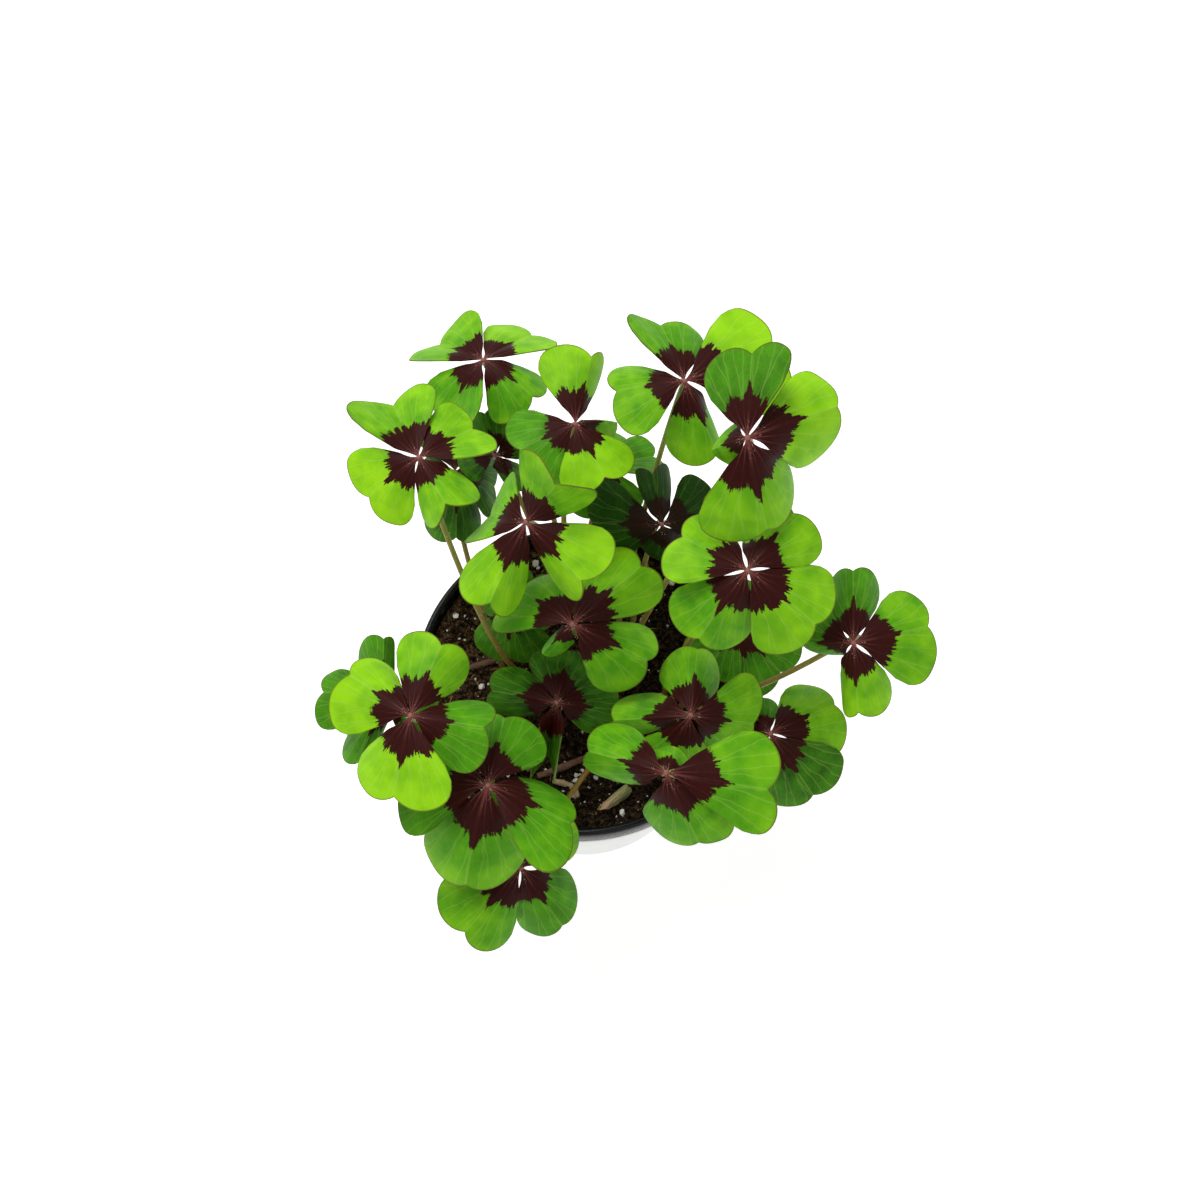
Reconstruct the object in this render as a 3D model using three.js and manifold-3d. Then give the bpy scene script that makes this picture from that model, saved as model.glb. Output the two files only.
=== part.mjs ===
// Potted iron cross oxalis (Oxalis tetraphylla): a bushy plant of four-part leaves on thin stalks,
// growing from bulbs in the soil of a black grow pot, which stands in a white tapered cover pot.
// Millimetres, +Z up, origin at the centre of the cover pot's foot, front of the plant toward -Y.

import * as THREE from "three";
import { mergeVertices } from "three/addons/utils/BufferGeometryUtils.js";
import Module from "manifold-3d";

const wasm = await Module();
wasm.setup();
const { Manifold } = wasm;

// Pots
const rimTop = 88;
const rimRadius = 60;
const rimHeight = 10;
const rimWidth = 3;
const growBaseRadius = 40;
const growShoulderRadius = 54.6;
const growWall = 1.2;
const drainHoles = 6;
const drainRadius = 3.5;
const drainRing = 27;
const coverRimRadius = 59.5;
const coverFootRadius = 45;
const coverWall = 2.5;
const coverFloor = 3;
const roundSteps = 40;
const gap = 0.3;

// Soil
const soilTop = 77;
const soilEdge = 56.5;
const soilRings = 8;
const soilSteps = 28;
const crumbHeight = 0.9;
const moundHeight = 2.0;
const bankStart = 44;
const bankHeight = 4.3;
const leftBankRise = 3;
const ledgeFoot = [52.95, 75.6];
const ledgeTop = 79.4;
const youngSpot = [-18.9, -32.8];
const youngFoot = 70;
const youngHole = 1.3;

// Bulbs, buried under the crowns that the leaf stalks rise from
const bulbTop = 52;
const bulbHeight = 22;
const bulbRadius = 8.5;
const crownRadius = 5.4;
const bulbSides = 10;
const stalkRing = 3.5;

// Leaf stalks
const stalkRadius = 1.05;
const stalkHole = 1.9;
const stalkSides = 6;
const stalkSteps = 10;

// Leaflets
const bladeThickness = 0.6;
const hubDepth = 1.3;
const slit = 1.5;
const leastSpread = 30;
const mostSpread = 47;
const lobeReach = 0.68;
const lobeRadius = 0.32;
const lobeSwing = 0.7;
const shoulderStart = 0.72;
const shoulderLoss = 0.26;
const probe = 0.01;

const leafGreen = 0x5fae2a;
const shadeGreen = 0x2f6b25;
const stalkBrown = 0x8a6a3c;
const blackPlastic = 0x1b1c1e;
const whitePlastic = 0xe9e9e7;
const peat = 0x33261c;
const bulbTan = 0xa07a52;
const youngGreen = 0xb4bf8a;
const dryTan = 0x9a7b58;
const deadBrown = 0x4a3423;

const deg = THREE.MathUtils.degToRad;
const plant = new THREE.Group();

function add(name, geometry, color, roughness) {
  const material = new THREE.MeshStandardMaterial({ color, roughness, metalness: 0 });
  const mesh = new THREE.Mesh(geometry, material);
  mesh.name = name;
  plant.add(mesh);
}

function smooth(x) {
  const s = THREE.MathUtils.clamp(x, 0, 1);
  return s * s * (3 - 2 * s);
}

function toSolid(geometry) {
  const bare = geometry.clone();
  bare.deleteAttribute("normal");
  bare.deleteAttribute("uv");
  const merged = mergeVertices(bare, 1e-4);
  return new Manifold(new wasm.Mesh({
    numProp: 3,
    vertProperties: new Float32Array(merged.attributes.position.array),
    triVerts: new Uint32Array(merged.index.array),
  }));
}

function toGeometry(solid) {
  const mesh = solid.getMesh();
  const geometry = new THREE.BufferGeometry();
  geometry.setAttribute("position", new THREE.BufferAttribute(new Float32Array(mesh.vertProperties), 3));
  geometry.setIndex(new THREE.BufferAttribute(new Uint32Array(mesh.triVerts), 1));
  geometry.computeVertexNormals();
  return geometry;
}

// A solid of revolution about +Z from points (radius, height).
function turned(profile, steps) {
  const points = profile.map(([radius, height]) => new THREE.Vector2(radius, height));
  const geometry = new THREE.LatheGeometry(points, steps);
  geometry.rotateX(Math.PI / 2);
  return geometry;
}

function upright(radius, bottom, top, sides, x, y) {
  const geometry = new THREE.CylinderGeometry(radius, radius, top - bottom, sides);
  geometry.rotateX(Math.PI / 2);
  geometry.translate(x, y, (top + bottom) / 2);
  return geometry;
}

function closedGeometry(points, triangles) {
  const geometry = new THREE.BufferGeometry();
  const places = points.flatMap((p) => [p.x, p.y, p.z]);
  geometry.setAttribute("position", new THREE.Float32BufferAttribute(places, 3));
  geometry.setIndex(triangles.flat());
  geometry.computeVertexNormals();
  return geometry;
}

// Cover pot: plain tapered wall on a flat foot
const coverTop = rimTop - rimHeight - gap;
add("cover_pot", turned([
  [0, 0],
  [coverFootRadius - 1, 0],
  [coverFootRadius, 1],
  [coverRimRadius, coverTop - 0.7],
  [coverRimRadius - 0.6, coverTop],
  [coverRimRadius - coverWall + 0.4, coverTop],
  [coverRimRadius - coverWall, coverTop - 0.7],
  [coverFootRadius - coverWall, coverFloor],
  [0, coverFloor],
], roundSteps), whitePlastic, 0.35);

// Grow pot: tapered thin wall, stepped out into a deep rim band that hangs on the cover pot's edge
const growFloor = coverFloor + gap;
const shoulderZ = rimTop - rimHeight - 3;
const growShell = turned([
  [0, growFloor],
  [growBaseRadius, growFloor],
  [growShoulderRadius, shoulderZ],
  [rimRadius - rimWidth - 0.5, rimTop - rimHeight],
  [rimRadius - 0.4, rimTop - rimHeight],
  [rimRadius, rimTop - rimHeight + 0.5],
  [rimRadius, rimTop - 1],
  [rimRadius - 0.8, rimTop],
  [rimRadius - rimWidth + 0.6, rimTop],
  [rimRadius - rimWidth, rimTop - 0.7],
  [rimRadius - rimWidth, rimTop - rimHeight + 1.2],
  [growShoulderRadius - growWall, shoulderZ + 0.4],
  [growBaseRadius - growWall, growFloor + growWall + 0.3],
  [0, growFloor + growWall + 0.3],
], roundSteps);
let growPot = toSolid(growShell);
for (let i = 0; i < drainHoles; i += 1) {
  const turn = (i / drainHoles) * 2 * Math.PI;
  const hole = upright(drainRadius, 0, 12, 10, drainRing * Math.cos(turn), drainRing * Math.sin(turn));
  growPot = growPot.subtract(toSolid(hole));
}
add("grow_pot", toGeometry(growPot), blackPlastic, 0.45);

// Crowns: where each bulb sits, and the leaves that rise from it
const crowns = [
  { name: "front", x: 9, y: -25 },
  { name: "left", x: -25, y: 5 },
  { name: "side", x: -30, y: -19 },
  { name: "back", x: -6, y: 31 },
  { name: "middle", x: 15, y: 10 },
  { name: "right", x: 33, y: -8 },
];

// One row for each leaf: where its four leaflets meet, leaflet length, the tilt of its plane (how far,
// toward which side), the heading of its first leaflet, the crown it grows from, and its four leaflets
// anticlockwise from that heading. A leaflet has its droop, the fold of its left and right half down
// from the midrib (minus is up), its share of the leaf's length and its turn from a right angle.
// All angles are in degrees.
const leaves = [
  { at: [-32, 80, 167], length: 26, lean: 19, toward: 125, heading: 41, crown: "back",
    bow: [3, 10, 1, 9],
    leaflets: [[15, 0, -5, 1, 8], [10, -15, -15, 1.05, 8],
      [35, -10, -10, 0.95, 2], [30, 30, 40, 0.95, 14]] },
  { at: [-50, 38, 174], length: 26, lean: 7, toward: -135, heading: 30, crown: "left",
    bow: [-8, -12, 0, -6],
    leaflets: [[20, -5, -20, 0.95, 9], [15, -35, -10, 1.1, -4],
      [22, 30, -10, 0.95, 0], [-5, 35, 50, 0.9, -1]] },
  { at: [-1, 49, 176], length: 24, lean: 12, toward: -15, heading: 18, crown: "back",
    bow: [-5, 0, 1, -1],
    leaflets: [[30, 70, 70, 0.95, 7], [-15, 10, 65, 1.1, -29],
      [15, 20, 15, 0.95, 9], [10, 0, 25, 0.95, 13]] },
  { at: [33, 57, 188], length: 30, lean: 10, toward: -40, heading: 20, crown: "middle",
    leaflets: [[0, 10, 20, 1.2, 5], [15, -30, 20, 0.9, -4],
      [10, 10, 30, 0.83, -11], [25, 58, 58, 0.98, 10]] },
  { at: [49, 25, 206], length: 33, lean: 32, toward: -125, heading: 6, crown: "middle",
    leaflets: [[35, 25, 55, 1.08, 17], [5, 25, -15, 0.85, -8],
      [45, 50, 50, 0.65, 5], [30, 65, 0, 1.05, 2]] },
  { at: [-29, 58, 142], length: 18, lean: 40, toward: -90, heading: 21, crown: "back",
    leaflets: [[20, 25, 45, 0.85, 6], [15, 35, 30, 0.95, -2], [30, 20, 30, 1, -14], [15, 60, 65, 1, 14]] },
  { at: [-16, 16, 172], length: 28, lean: 30, toward: -115, heading: -36, crown: "back",
    leaflets: [[0, 10, 50, 1.05, -14], [-40, 5, 45, 0.9, -18],
      [45, -40, 15, 0.9, 23], [0, 70, 25, 1.15, 7]] },
  { at: [27, 27, 150], length: 25, lean: 44, toward: -85, heading: 14, crown: "middle",
    leaflets: [[25, 30, 20, 0.95, -1], [0, 60, 55, 0.8, 1],
      [20, 30, 25, 1.1, -7], [35, 45, 45, 0.95, 7]] },
  { at: [51, -2, 175], length: 29, lean: 10, toward: -90, heading: -35, crown: "right",
    bow: [-2, 0, -1, 1],
    leaflets: [[20, 15, 40, 1.1, 0], [5, 50, 25, 0.95, -4], [5, 0, 30, 0.9, 5], [30, 50, 20, 1.05, -3]] },
  { at: [86, -15, 150], length: 27, lean: 28, toward: -120, heading: 5, crown: "right",
    bow: [12, -24, 12, 12],
    leaflets: [[25, 30, 15, 1.1, 8], [15, 55, 55, 1, -4], [40, 70, 20, 0.95, -3], [5, 45, 65, 0.95, -1]] },
  { at: [-2, -6, 144], length: 32, lean: 10, toward: -55, heading: 50, crown: "middle",
    leaflets: [[0, 40, 40, 1.1, -7], [35, 5, 20, 0.95, -1],
      [45, 70, 70, 0.58, -10], [15, 30, 50, 1, 19]] },
  { at: [-51, -39, 150], length: 28, lean: 9, toward: -105, heading: -19, crown: "side",
    bow: [-3, -1, -2, 0],
    leaflets: [[5, 45, 25, 0.95, 10], [5, 15, 50, 1, -2], [5, 20, 45, 1, -15], [15, -5, 30, 1.05, 7]] },
  { at: [-8, -20, 110], length: 25, lean: 22, toward: -95, heading: -11, crown: "front",
    bow: [1, 0, 1, 1],
    leaflets: [[15, 40, 45, 0.95, 3], [30, 20, 45, 0.95, -2],
      [5, 55, 50, 1.05, 0], [30, -72, -72, 1, 0]] },
  { at: [36, -31, 128], length: 28, lean: 26, toward: -90, heading: -11, crown: "front",
    leaflets: [[25, 5, 35, 1, 0], [25, 45, 50, 0.95, 2], [20, 60, 65, 1.1, 16], [30, 20, 20, 1, -17]] },
  { at: [27, -54, 140], length: 31, lean: 21, toward: -105, heading: 82, crown: "front",
    bow: [-5, 0, -3, 0],
    leaflets: [[50, 30, 30, 0.45, -12], [10, 60, 50, 0.95, -8],
      [30, 5, 45, 1.05, 30], [8, 30, 10, 1.2, -3]] },
  { at: [63, -33, 116], length: 30, lean: 16, toward: -145, heading: 28, crown: "right",
    leaflets: [[25, 35, 30, 1, -2], [15, 25, 35, 0.5, 0], [28, 45, 45, 0.7, 0], [30, 15, 35, 1, 4]] },
  { at: [-28, -56, 134], length: 34, lean: 6, toward: 105, heading: -17, crown: "side",
    leaflets: [[25, 45, -10, 1, -2], [5, 35, 30, 0.82, 7], [20, 20, 20, 1, 0], [40, 50, 30, 1.15, 0]] },
  { at: [-19, -75, 104], length: 29, lean: 14, toward: -80, heading: -46, crown: "front",
    leaflets: [[25, 45, 40, 1.02, -8], [15, 10, 40, 0.9, 9], [15, 10, 10, 1, 2], [10, 40, 25, 1.1, 4]] },
  { at: [-44, 59, 130], length: 26, lean: 14, toward: -20, heading: 5, crown: "left",
    bow: [-3, 0, -2, 0],
    leaflets: [[40, -5, 5, 0.9, -1], [15, 5, 5, 1, 0], [38, 8, 8, 0.6, 0], [25, 45, 50, 1.05, 1]] },
  { at: [-64, -25, 126], length: 24, lean: 22, toward: -15, heading: -7, crown: "side",
    leaflets: [[15, 5, 5, 0.9, 0], [0, 60, 60, 1, 10], [20, 10, 30, 0.95, 0], [20, 65, 65, 1.05, -8]] },
  { at: [7, 56, 139], length: 21, lean: 12, toward: 95, heading: 8, crown: "back",
    leaflets: [[5, 5, -20, 1.05, 8], [15, 5, 5, 1, 0], [5, 10, 5, 0.85, -8], [15, 5, 5, 1, 0]] },
  { at: [55, 12, 103], length: 22, lean: 11, toward: -60, heading: -43, crown: "right",
    leaflets: [[15, 5, 10, 1.25, 0], [15, 5, 5, 0.9, 0], [15, 5, 5, 1, 0], [15, 5, 5, 0.95, 12]] },
  { at: [-25, 17, 112], length: 22, lean: 33, toward: -105, heading: -4, crown: "left",
    leaflets: [[15, 8, 8, 0.8, 0], [15, 8, 8, 0.6, 0], [15, 8, 8, 0.5, 0], [20, 20, 20, 1.2, 0]] },
];

// Outline radius as a share of the leaflet's length, t from 0 at the midrib to 1 at the side edge.
// Each half ends in a round lobe; the two lobes meet in the notch, and the outer shoulder is rounded off.
function outlineRadius(t) {
  const swing = lobeSwing * (t - 0.5);
  const lobe = lobeReach * Math.cos(swing) + Math.sqrt(lobeRadius ** 2 - (lobeReach * Math.sin(swing)) ** 2);
  const past = Math.max(0, (t - shoulderStart) / (1 - shoulderStart));
  return lobe * (1 - shoulderLoss * (1 - Math.sqrt(Math.max(0, 1 - past * past))));
}

// A point of the flat leaflet, along and across its midrib, as shares of its length.
function flatPoint(rho, t, spread) {
  const side = Math.abs(t);
  const angle = deg(spread) * side * (0.8 + 0.2 * smooth(rho / 0.6));
  const radius = rho * outlineRadius(side);
  return [radius * Math.cos(angle), Math.sign(t) * radius * Math.sin(angle)];
}

function leafFrame(leaf) {
  const lean = deg(leaf.lean);
  const toward = deg(leaf.toward);
  const heading = deg(leaf.heading);
  const normal = new THREE.Vector3(
    Math.sin(lean) * Math.cos(toward),
    Math.sin(lean) * Math.sin(toward),
    Math.cos(lean),
  );
  const first = new THREE.Vector3(Math.cos(heading), Math.sin(heading), 0);
  first.addScaledVector(normal, -first.dot(normal)).normalize();
  return { normal, first, second: normal.clone().cross(first), hub: new THREE.Vector3(...leaf.at) };
}

// Where a point of the flat leaflet lies on the real one: the midrib arches down ever more,
// and each half falls away from it.
function bladePoint(frame, length, index, [droopDeg, leftDeg, rightDeg, share, turnDeg], along, across) {
  const yaw = deg(90 * index + turnDeg);
  const reach = length * share;
  const out = frame.first.clone().multiplyScalar(Math.cos(yaw)).addScaledVector(frame.second, Math.sin(yaw));
  const left = frame.normal.clone().cross(out);
  const droop = deg(droopDeg);
  const start = droop * 0.5;
  const end = start + droop * along;
  const span = end - start;
  const bent = Math.abs(span) > 1e-6;
  const forward = bent ? (Math.sin(end) - Math.sin(start)) / span : Math.cos(start);
  const down = bent ? (Math.cos(start) - Math.cos(end)) / span : Math.sin(start);
  const width = Math.abs(across);
  const closing = 0.35 + 0.65 * smooth(along / 0.35);
  const fold = deg(across >= 0 ? leftDeg : rightDeg) * (0.7 + 0.6 * width) * closing;
  const up = out.clone().multiplyScalar(Math.sin(end)).addScaledVector(frame.normal, Math.cos(end));
  return frame.hub.clone()
    .addScaledVector(out, reach * along * forward)
    .addScaledVector(frame.normal, -reach * along * down)
    .addScaledVector(left, reach * across * Math.cos(fold))
    .addScaledVector(up, -reach * width * Math.sin(fold));
}

// Rows of points across a leaflet from its base to its edge; each half is given from the midrib out.
const bladeRows = [
  { rho: 0.07, half: [0, 1] },
  { rho: 0.4, half: [0, 0.5, 1] },
  { rho: 0.74, half: [0, 0.36, 0.72, 1] },
  { rho: 1, half: [0, 0.22, 0.48, 0.74, 0.92, 1] },
];

// Half the angle between two neighbouring leaflets, less the slit that stays open between them.
function halfAngle(turn, nextTurn) {
  return THREE.MathUtils.clamp((90 + nextTurn - turn) / 2 - slit, leastSpread, mostSpread);
}

// Points of one leaflet, upper and under side in turn, and its upper faces as triples of points.
function leafletMesh(frame, leaf, index) {
  const leaflet = leaf.leaflets[index];
  const turnOf = (k) => leaf.leaflets[(k + 4) % 4][4];
  const left = halfAngle(turnOf(index), turnOf(index + 1));
  const right = halfAngle(turnOf(index - 1), turnOf(index));
  const place = (along, across) => bladePoint(frame, leaf.length, index, leaflet, along, across);
  const points = [];
  const rows = bladeRows.map(({ rho, half }) => {
    const steps = [...half.slice(1).reverse().map((t) => -t), ...half];
    return steps.map((t) => {
      const [along, across] = flatPoint(rho, t, t > 0 ? left : right);
      const point = place(along, across);
      const alongWay = place(along + probe, across).sub(place(along - probe, across));
      const acrossWay = place(along, across + probe).sub(place(along, across - probe));
      const normal = alongWay.cross(acrossWay).normalize();
      points.push(point, point.clone().addScaledVector(normal, -bladeThickness));
      return points.length - 2;
    });
  });
  const faces = [];
  for (let r = 0; r + 1 < rows.length; r += 1) {
    const inner = bladeRows[r].half;
    const outer = bladeRows[r + 1].half;
    for (const side of [-1, 1]) {
      const low = (i) => rows[r][inner.length - 1 + side * i];
      const high = (j) => rows[r + 1][outer.length - 1 + side * j];
      let i = 0;
      let j = 0;
      while (i + 1 < inner.length || j + 1 < outer.length) {
        const nextInner = i + 1 < inner.length ? inner[i] + inner[i + 1] : Infinity;
        const nextOuter = j + 1 < outer.length ? outer[j] + outer[j + 1] : Infinity;
        const stepOut = nextOuter <= nextInner;
        const corner = stepOut ? [low(i), high(j), high(j + 1)] : [low(i), high(j), low(i + 1)];
        faces.push(side > 0 ? corner : [corner[0], corner[2], corner[1]]);
        if (stepOut) j += 1;
        else i += 1;
      }
    }
  }
  const border = [
    ...rows.map((row) => row[0]),
    ...rows.at(-1).slice(1, -1),
    ...rows.map((row) => row.at(-1)).reverse(),
  ];
  return { points, faces, base: rows[0], border };
}

// The whole leaf blade as one body: four leaflets joined round a small hub.
function leafBlade(frame, leaf) {
  const points = [
    frame.hub.clone().addScaledVector(frame.normal, 0.3),
    frame.hub.clone().addScaledVector(frame.normal, -hubDepth),
  ];
  const triangles = [];
  const wall = (a, b) => triangles.push([a, a + 1, b], [b, a + 1, b + 1]);
  const face = (a, b, c) => triangles.push([a, b, c], [a + 1, c + 1, b + 1]);
  const bases = [0, 1, 2, 3].map((index) => {
    const start = points.length;
    const leaflet = leafletMesh(frame, leaf, index);
    points.push(...leaflet.points);
    leaflet.faces.forEach((corner) => face(...corner.map((n) => n + start)));
    const border = leaflet.border.map((n) => n + start);
    for (let n = 0; n + 1 < border.length; n += 1) wall(border[n], border[n + 1]);
    return leaflet.base.map((n) => n + start);
  });
  bases.forEach((base, index) => {
    const next = bases[(index + 1) % 4];
    face(0, base[0], base[1]);
    face(0, base[1], base[2]);
    face(0, base[2], next[0]);
    wall(base[2], next[0]);
  });
  return closedGeometry(points, triangles);
}

// A stalk rises straight from the bulb out of the soil, then arches over to meet the leaf from
// behind its plane.
class StalkCurve extends THREE.Curve {
  constructor(foot, tip, normal, bow) {
    super();
    const moundTop = soilTop + moundHeight;
    const rise = tip.z - moundTop;
    this.foot = foot;
    this.ground = new THREE.Vector3(foot.x, foot.y, moundTop);
    this.arch = new THREE.CubicBezierCurve3(
      this.ground,
      new THREE.Vector3(foot.x + bow[0], foot.y + bow[1], moundTop + 0.4 * rise),
      tip.clone().addScaledVector(normal, -0.3 * rise).add(new THREE.Vector3(bow[2], bow[3], 0)),
      tip,
    );
    this.straight = (moundTop - foot.z) / (moundTop - foot.z + this.arch.getLength());
  }

  getPoint(t, target = new THREE.Vector3()) {
    if (t < this.straight) return target.lerpVectors(this.foot, this.ground, t / this.straight);
    return target.copy(this.arch.getPoint((t - this.straight) / (1 - this.straight)));
  }
}

function polygon(radius, sides) {
  const shape = new THREE.Shape();
  for (let i = 0; i < sides; i += 1) {
    const turn = (i / sides) * 2 * Math.PI;
    const [x, y] = [radius * Math.cos(turn), radius * Math.sin(turn)];
    if (i === 0) shape.moveTo(x, y);
    else shape.lineTo(x, y);
  }
  shape.closePath();
  return shape;
}

function tube(curve, radius, sides, steps) {
  const settings = { steps, bevelEnabled: false, extrudePath: curve };
  return new THREE.ExtrudeGeometry(polygon(radius, sides), settings);
}

// Each crown's stalks stand evenly round it, in the order of the directions that their leaves lie in.
function stalkFeet() {
  const feet = new Map();
  for (const crown of crowns) {
    const own = leaves.filter((leaf) => leaf.crown === crown.name);
    const bearing = (leaf) => Math.atan2(leaf.at[1] - crown.y, leaf.at[0] - crown.x);
    own.sort((a, b) => bearing(a) - bearing(b));
    own.forEach((leaf, i) => {
      const turn = bearing(own[0]) + (i / own.length) * 2 * Math.PI;
      feet.set(leaf, new THREE.Vector3(
        crown.x + stalkRing * Math.cos(turn),
        crown.y + stalkRing * Math.sin(turn),
        bulbTop + gap,
      ));
    });
  }
  return feet;
}

const feet = stalkFeet();
leaves.forEach((leaf, i) => {
  const number = String(i + 1).padStart(2, "0");
  const frame = leafFrame(leaf);
  add(`leaf_${number}_blade`, leafBlade(frame, leaf), leaf.at[2] < 145 ? shadeGreen : leafGreen, 0.5);
  const tip = frame.hub.clone().addScaledVector(frame.normal, -hubDepth - gap);
  const curve = new StalkCurve(feet.get(leaf), tip, frame.normal, leaf.bow ?? [0, 0, 0, 0]);
  add(`leaf_${number}_stalk`, tube(curve, stalkRadius, stalkSides, stalkSteps), stalkBrown, 0.6);
});

// Bulbs
const bulbFoot = bulbTop - bulbHeight;
function bulbProfile(extra) {
  return [
    [0, bulbFoot - extra],
    [bulbRadius * 0.5, bulbFoot + 1 - extra],
    [bulbRadius * 0.95 + extra, bulbFoot + bulbHeight * 0.35],
    [bulbRadius + extra, bulbFoot + bulbHeight * 0.55],
    [crownRadius + extra, bulbTop - 1],
    [crownRadius + extra, bulbTop + extra],
    [0, bulbTop + extra],
  ];
}
crowns.forEach((crown) => {
  const bulb = turned(bulbProfile(0), bulbSides);
  bulb.translate(crown.x, crown.y, 0);
  add(`bulb_${crown.name}`, bulb, bulbTan, 0.7);
});

// Soil: crumbs all over, a low mound at each crown and a bank against the wall, highest on the left,
// hollowed for the bulbs and the stalks
function soilHeight(x, y) {
  const radius = Math.hypot(x, y);
  const fade = 1 - smooth((radius - 0.8 * soilEdge) / (0.2 * soilEdge));
  const broad = Math.sin(0.47 * x + 1.3) * Math.cos(0.53 * y - 0.4);
  const crumbs = broad + 0.6 * Math.sin(1.1 * x - 0.9 * y + 2.1);
  const mounds = crowns.map((crown) => Math.exp(-((x - crown.x) ** 2 + (y - crown.y) ** 2) / 90));
  const bankTop = bankHeight + leftBankRise * smooth(-x / soilEdge);
  const bank = bankTop * smooth((radius - bankStart) / (soilEdge - bankStart));
  const level = soilTop - 1 + crumbHeight * crumbs * (0.3 + 0.7 * fade);
  return level + moundHeight * Math.max(...mounds) + bank;
}

const soilFloor = growFloor + growWall + 0.3 + gap;
function soilBody() {
  const points = [new THREE.Vector3(0, 0, soilHeight(0, 0))];
  const triangles = [];
  const ring = (radius, height) => {
    for (let i = 0; i < soilSteps; i += 1) {
      const turn = (i / soilSteps) * 2 * Math.PI;
      const [x, y] = [radius * Math.cos(turn), radius * Math.sin(turn)];
      points.push(new THREE.Vector3(x, y, height ?? soilHeight(x, y)));
    }
  };
  for (let r = 1; r <= soilRings; r += 1) ring((r / soilRings) * soilEdge);
  ring(soilEdge, ledgeTop);
  ring(...ledgeFoot);
  const wallTop = growShoulderRadius - growWall - gap;
  ring(wallTop - 0.8, shoulderZ - 1);
  ring(growBaseRadius - growWall - gap - 0.3, soilFloor);
  points.push(new THREE.Vector3(0, 0, soilFloor));
  const rings = soilRings + 4;
  const at = (r, i) => 1 + (r - 1) * soilSteps + (i % soilSteps);
  for (let i = 0; i < soilSteps; i += 1) {
    triangles.push([0, at(1, i), at(1, i + 1)]);
    for (let r = 1; r < rings; r += 1) {
      triangles.push([at(r, i), at(r + 1, i), at(r + 1, i + 1)], [at(r, i), at(r + 1, i + 1), at(r, i + 1)]);
    }
    triangles.push([points.length - 1, at(rings, i + 1), at(rings, i)]);
  }
  return toSolid(closedGeometry(points, triangles));
}

let soil = soilBody();
crowns.forEach((crown) => {
  const cavity = turned(bulbProfile(gap + 0.1), bulbSides);
  cavity.translate(crown.x, crown.y, 0);
  soil = soil.subtract(toSolid(cavity));
});
feet.forEach((foot) => {
  soil = soil.subtract(toSolid(upright(stalkHole, bulbTop - 0.4, soilTop + 8, stalkSides, foot.x, foot.y)));
});
soil = soil.subtract(toSolid(upright(youngHole, youngFoot - gap, soilTop + 8, 8, ...youngSpot)));
add("soil", toGeometry(soil), peat, 0.95);

// A young leaf, still folded, just out of the soil
const youngLeaf = turned([
  [0, youngFoot],
  [0.8, youngFoot],
  [0.8, soilTop + 2],
  [1.7, soilTop + 3.5],
  [2.1, soilTop + 6],
  [1.2, soilTop + 8.5],
  [0, soilTop + 9.5],
], 8);
youngLeaf.translate(...youngSpot, 0);
add("young_leaf", youngLeaf, youngGreen, 0.6);

// Dead and dry stems that lie on the soil
const litter = [
  { name: "dead_stem_1", color: deadBrown, radius: 1.3,
    points: [[-15.5, -36, 78.3], [-6, -32.5, 78.8], [2.5, -29, 79.3]] },
  { name: "dead_stem_2", color: deadBrown, radius: 1.2,
    points: [[-41, 5.5, 78.6], [-36, 7, 79.1], [-31.5, 8, 79.6]] },
  { name: "dry_stem", color: dryTan, radius: 1.2,
    points: [[-9.9, -37.6, 77.75], [-3.5, -39.5, 77.75], [-1, -43.5, 77.75]] },
];
litter.forEach(({ name, color, radius, points }) => {
  const curve = new THREE.CatmullRomCurve3(points.map((point) => new THREE.Vector3(...point)));
  add(name, tube(curve, radius, stalkSides, 5), color, 0.8);
});

// A withered leaflet that has dropped on the soil, its halves folded down
const fallen = {
  at: [6.5, -50.5, 85.6], length: 16, lean: 4, toward: 0, heading: 42,
  leaflets: [[8, 74, 78, 1, 0], [8, 74, 78, 1, -27], [8, 74, 78, 1, 0], [8, 74, 78, 1, 27]],
};
function looseLeaflet(leaf) {
  const { points, faces, base, border } = leafletMesh(leafFrame(leaf), leaf, 0);
  const triangles = faces.flatMap(([a, b, c]) => [[a, b, c], [a + 1, c + 1, b + 1]]);
  const loop = [...border, base[1], border[0]];
  for (let n = 0; n + 1 < loop.length; n += 1) {
    triangles.push([loop[n], loop[n] + 1, loop[n + 1]], [loop[n + 1], loop[n] + 1, loop[n + 1] + 1]);
  }
  return closedGeometry(points, triangles);
}
add("withered_leaf", looseLeaflet(fallen), dryTan, 0.8);

export default plant;
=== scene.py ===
import math
import random
import bpy
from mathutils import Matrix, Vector, noise


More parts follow.
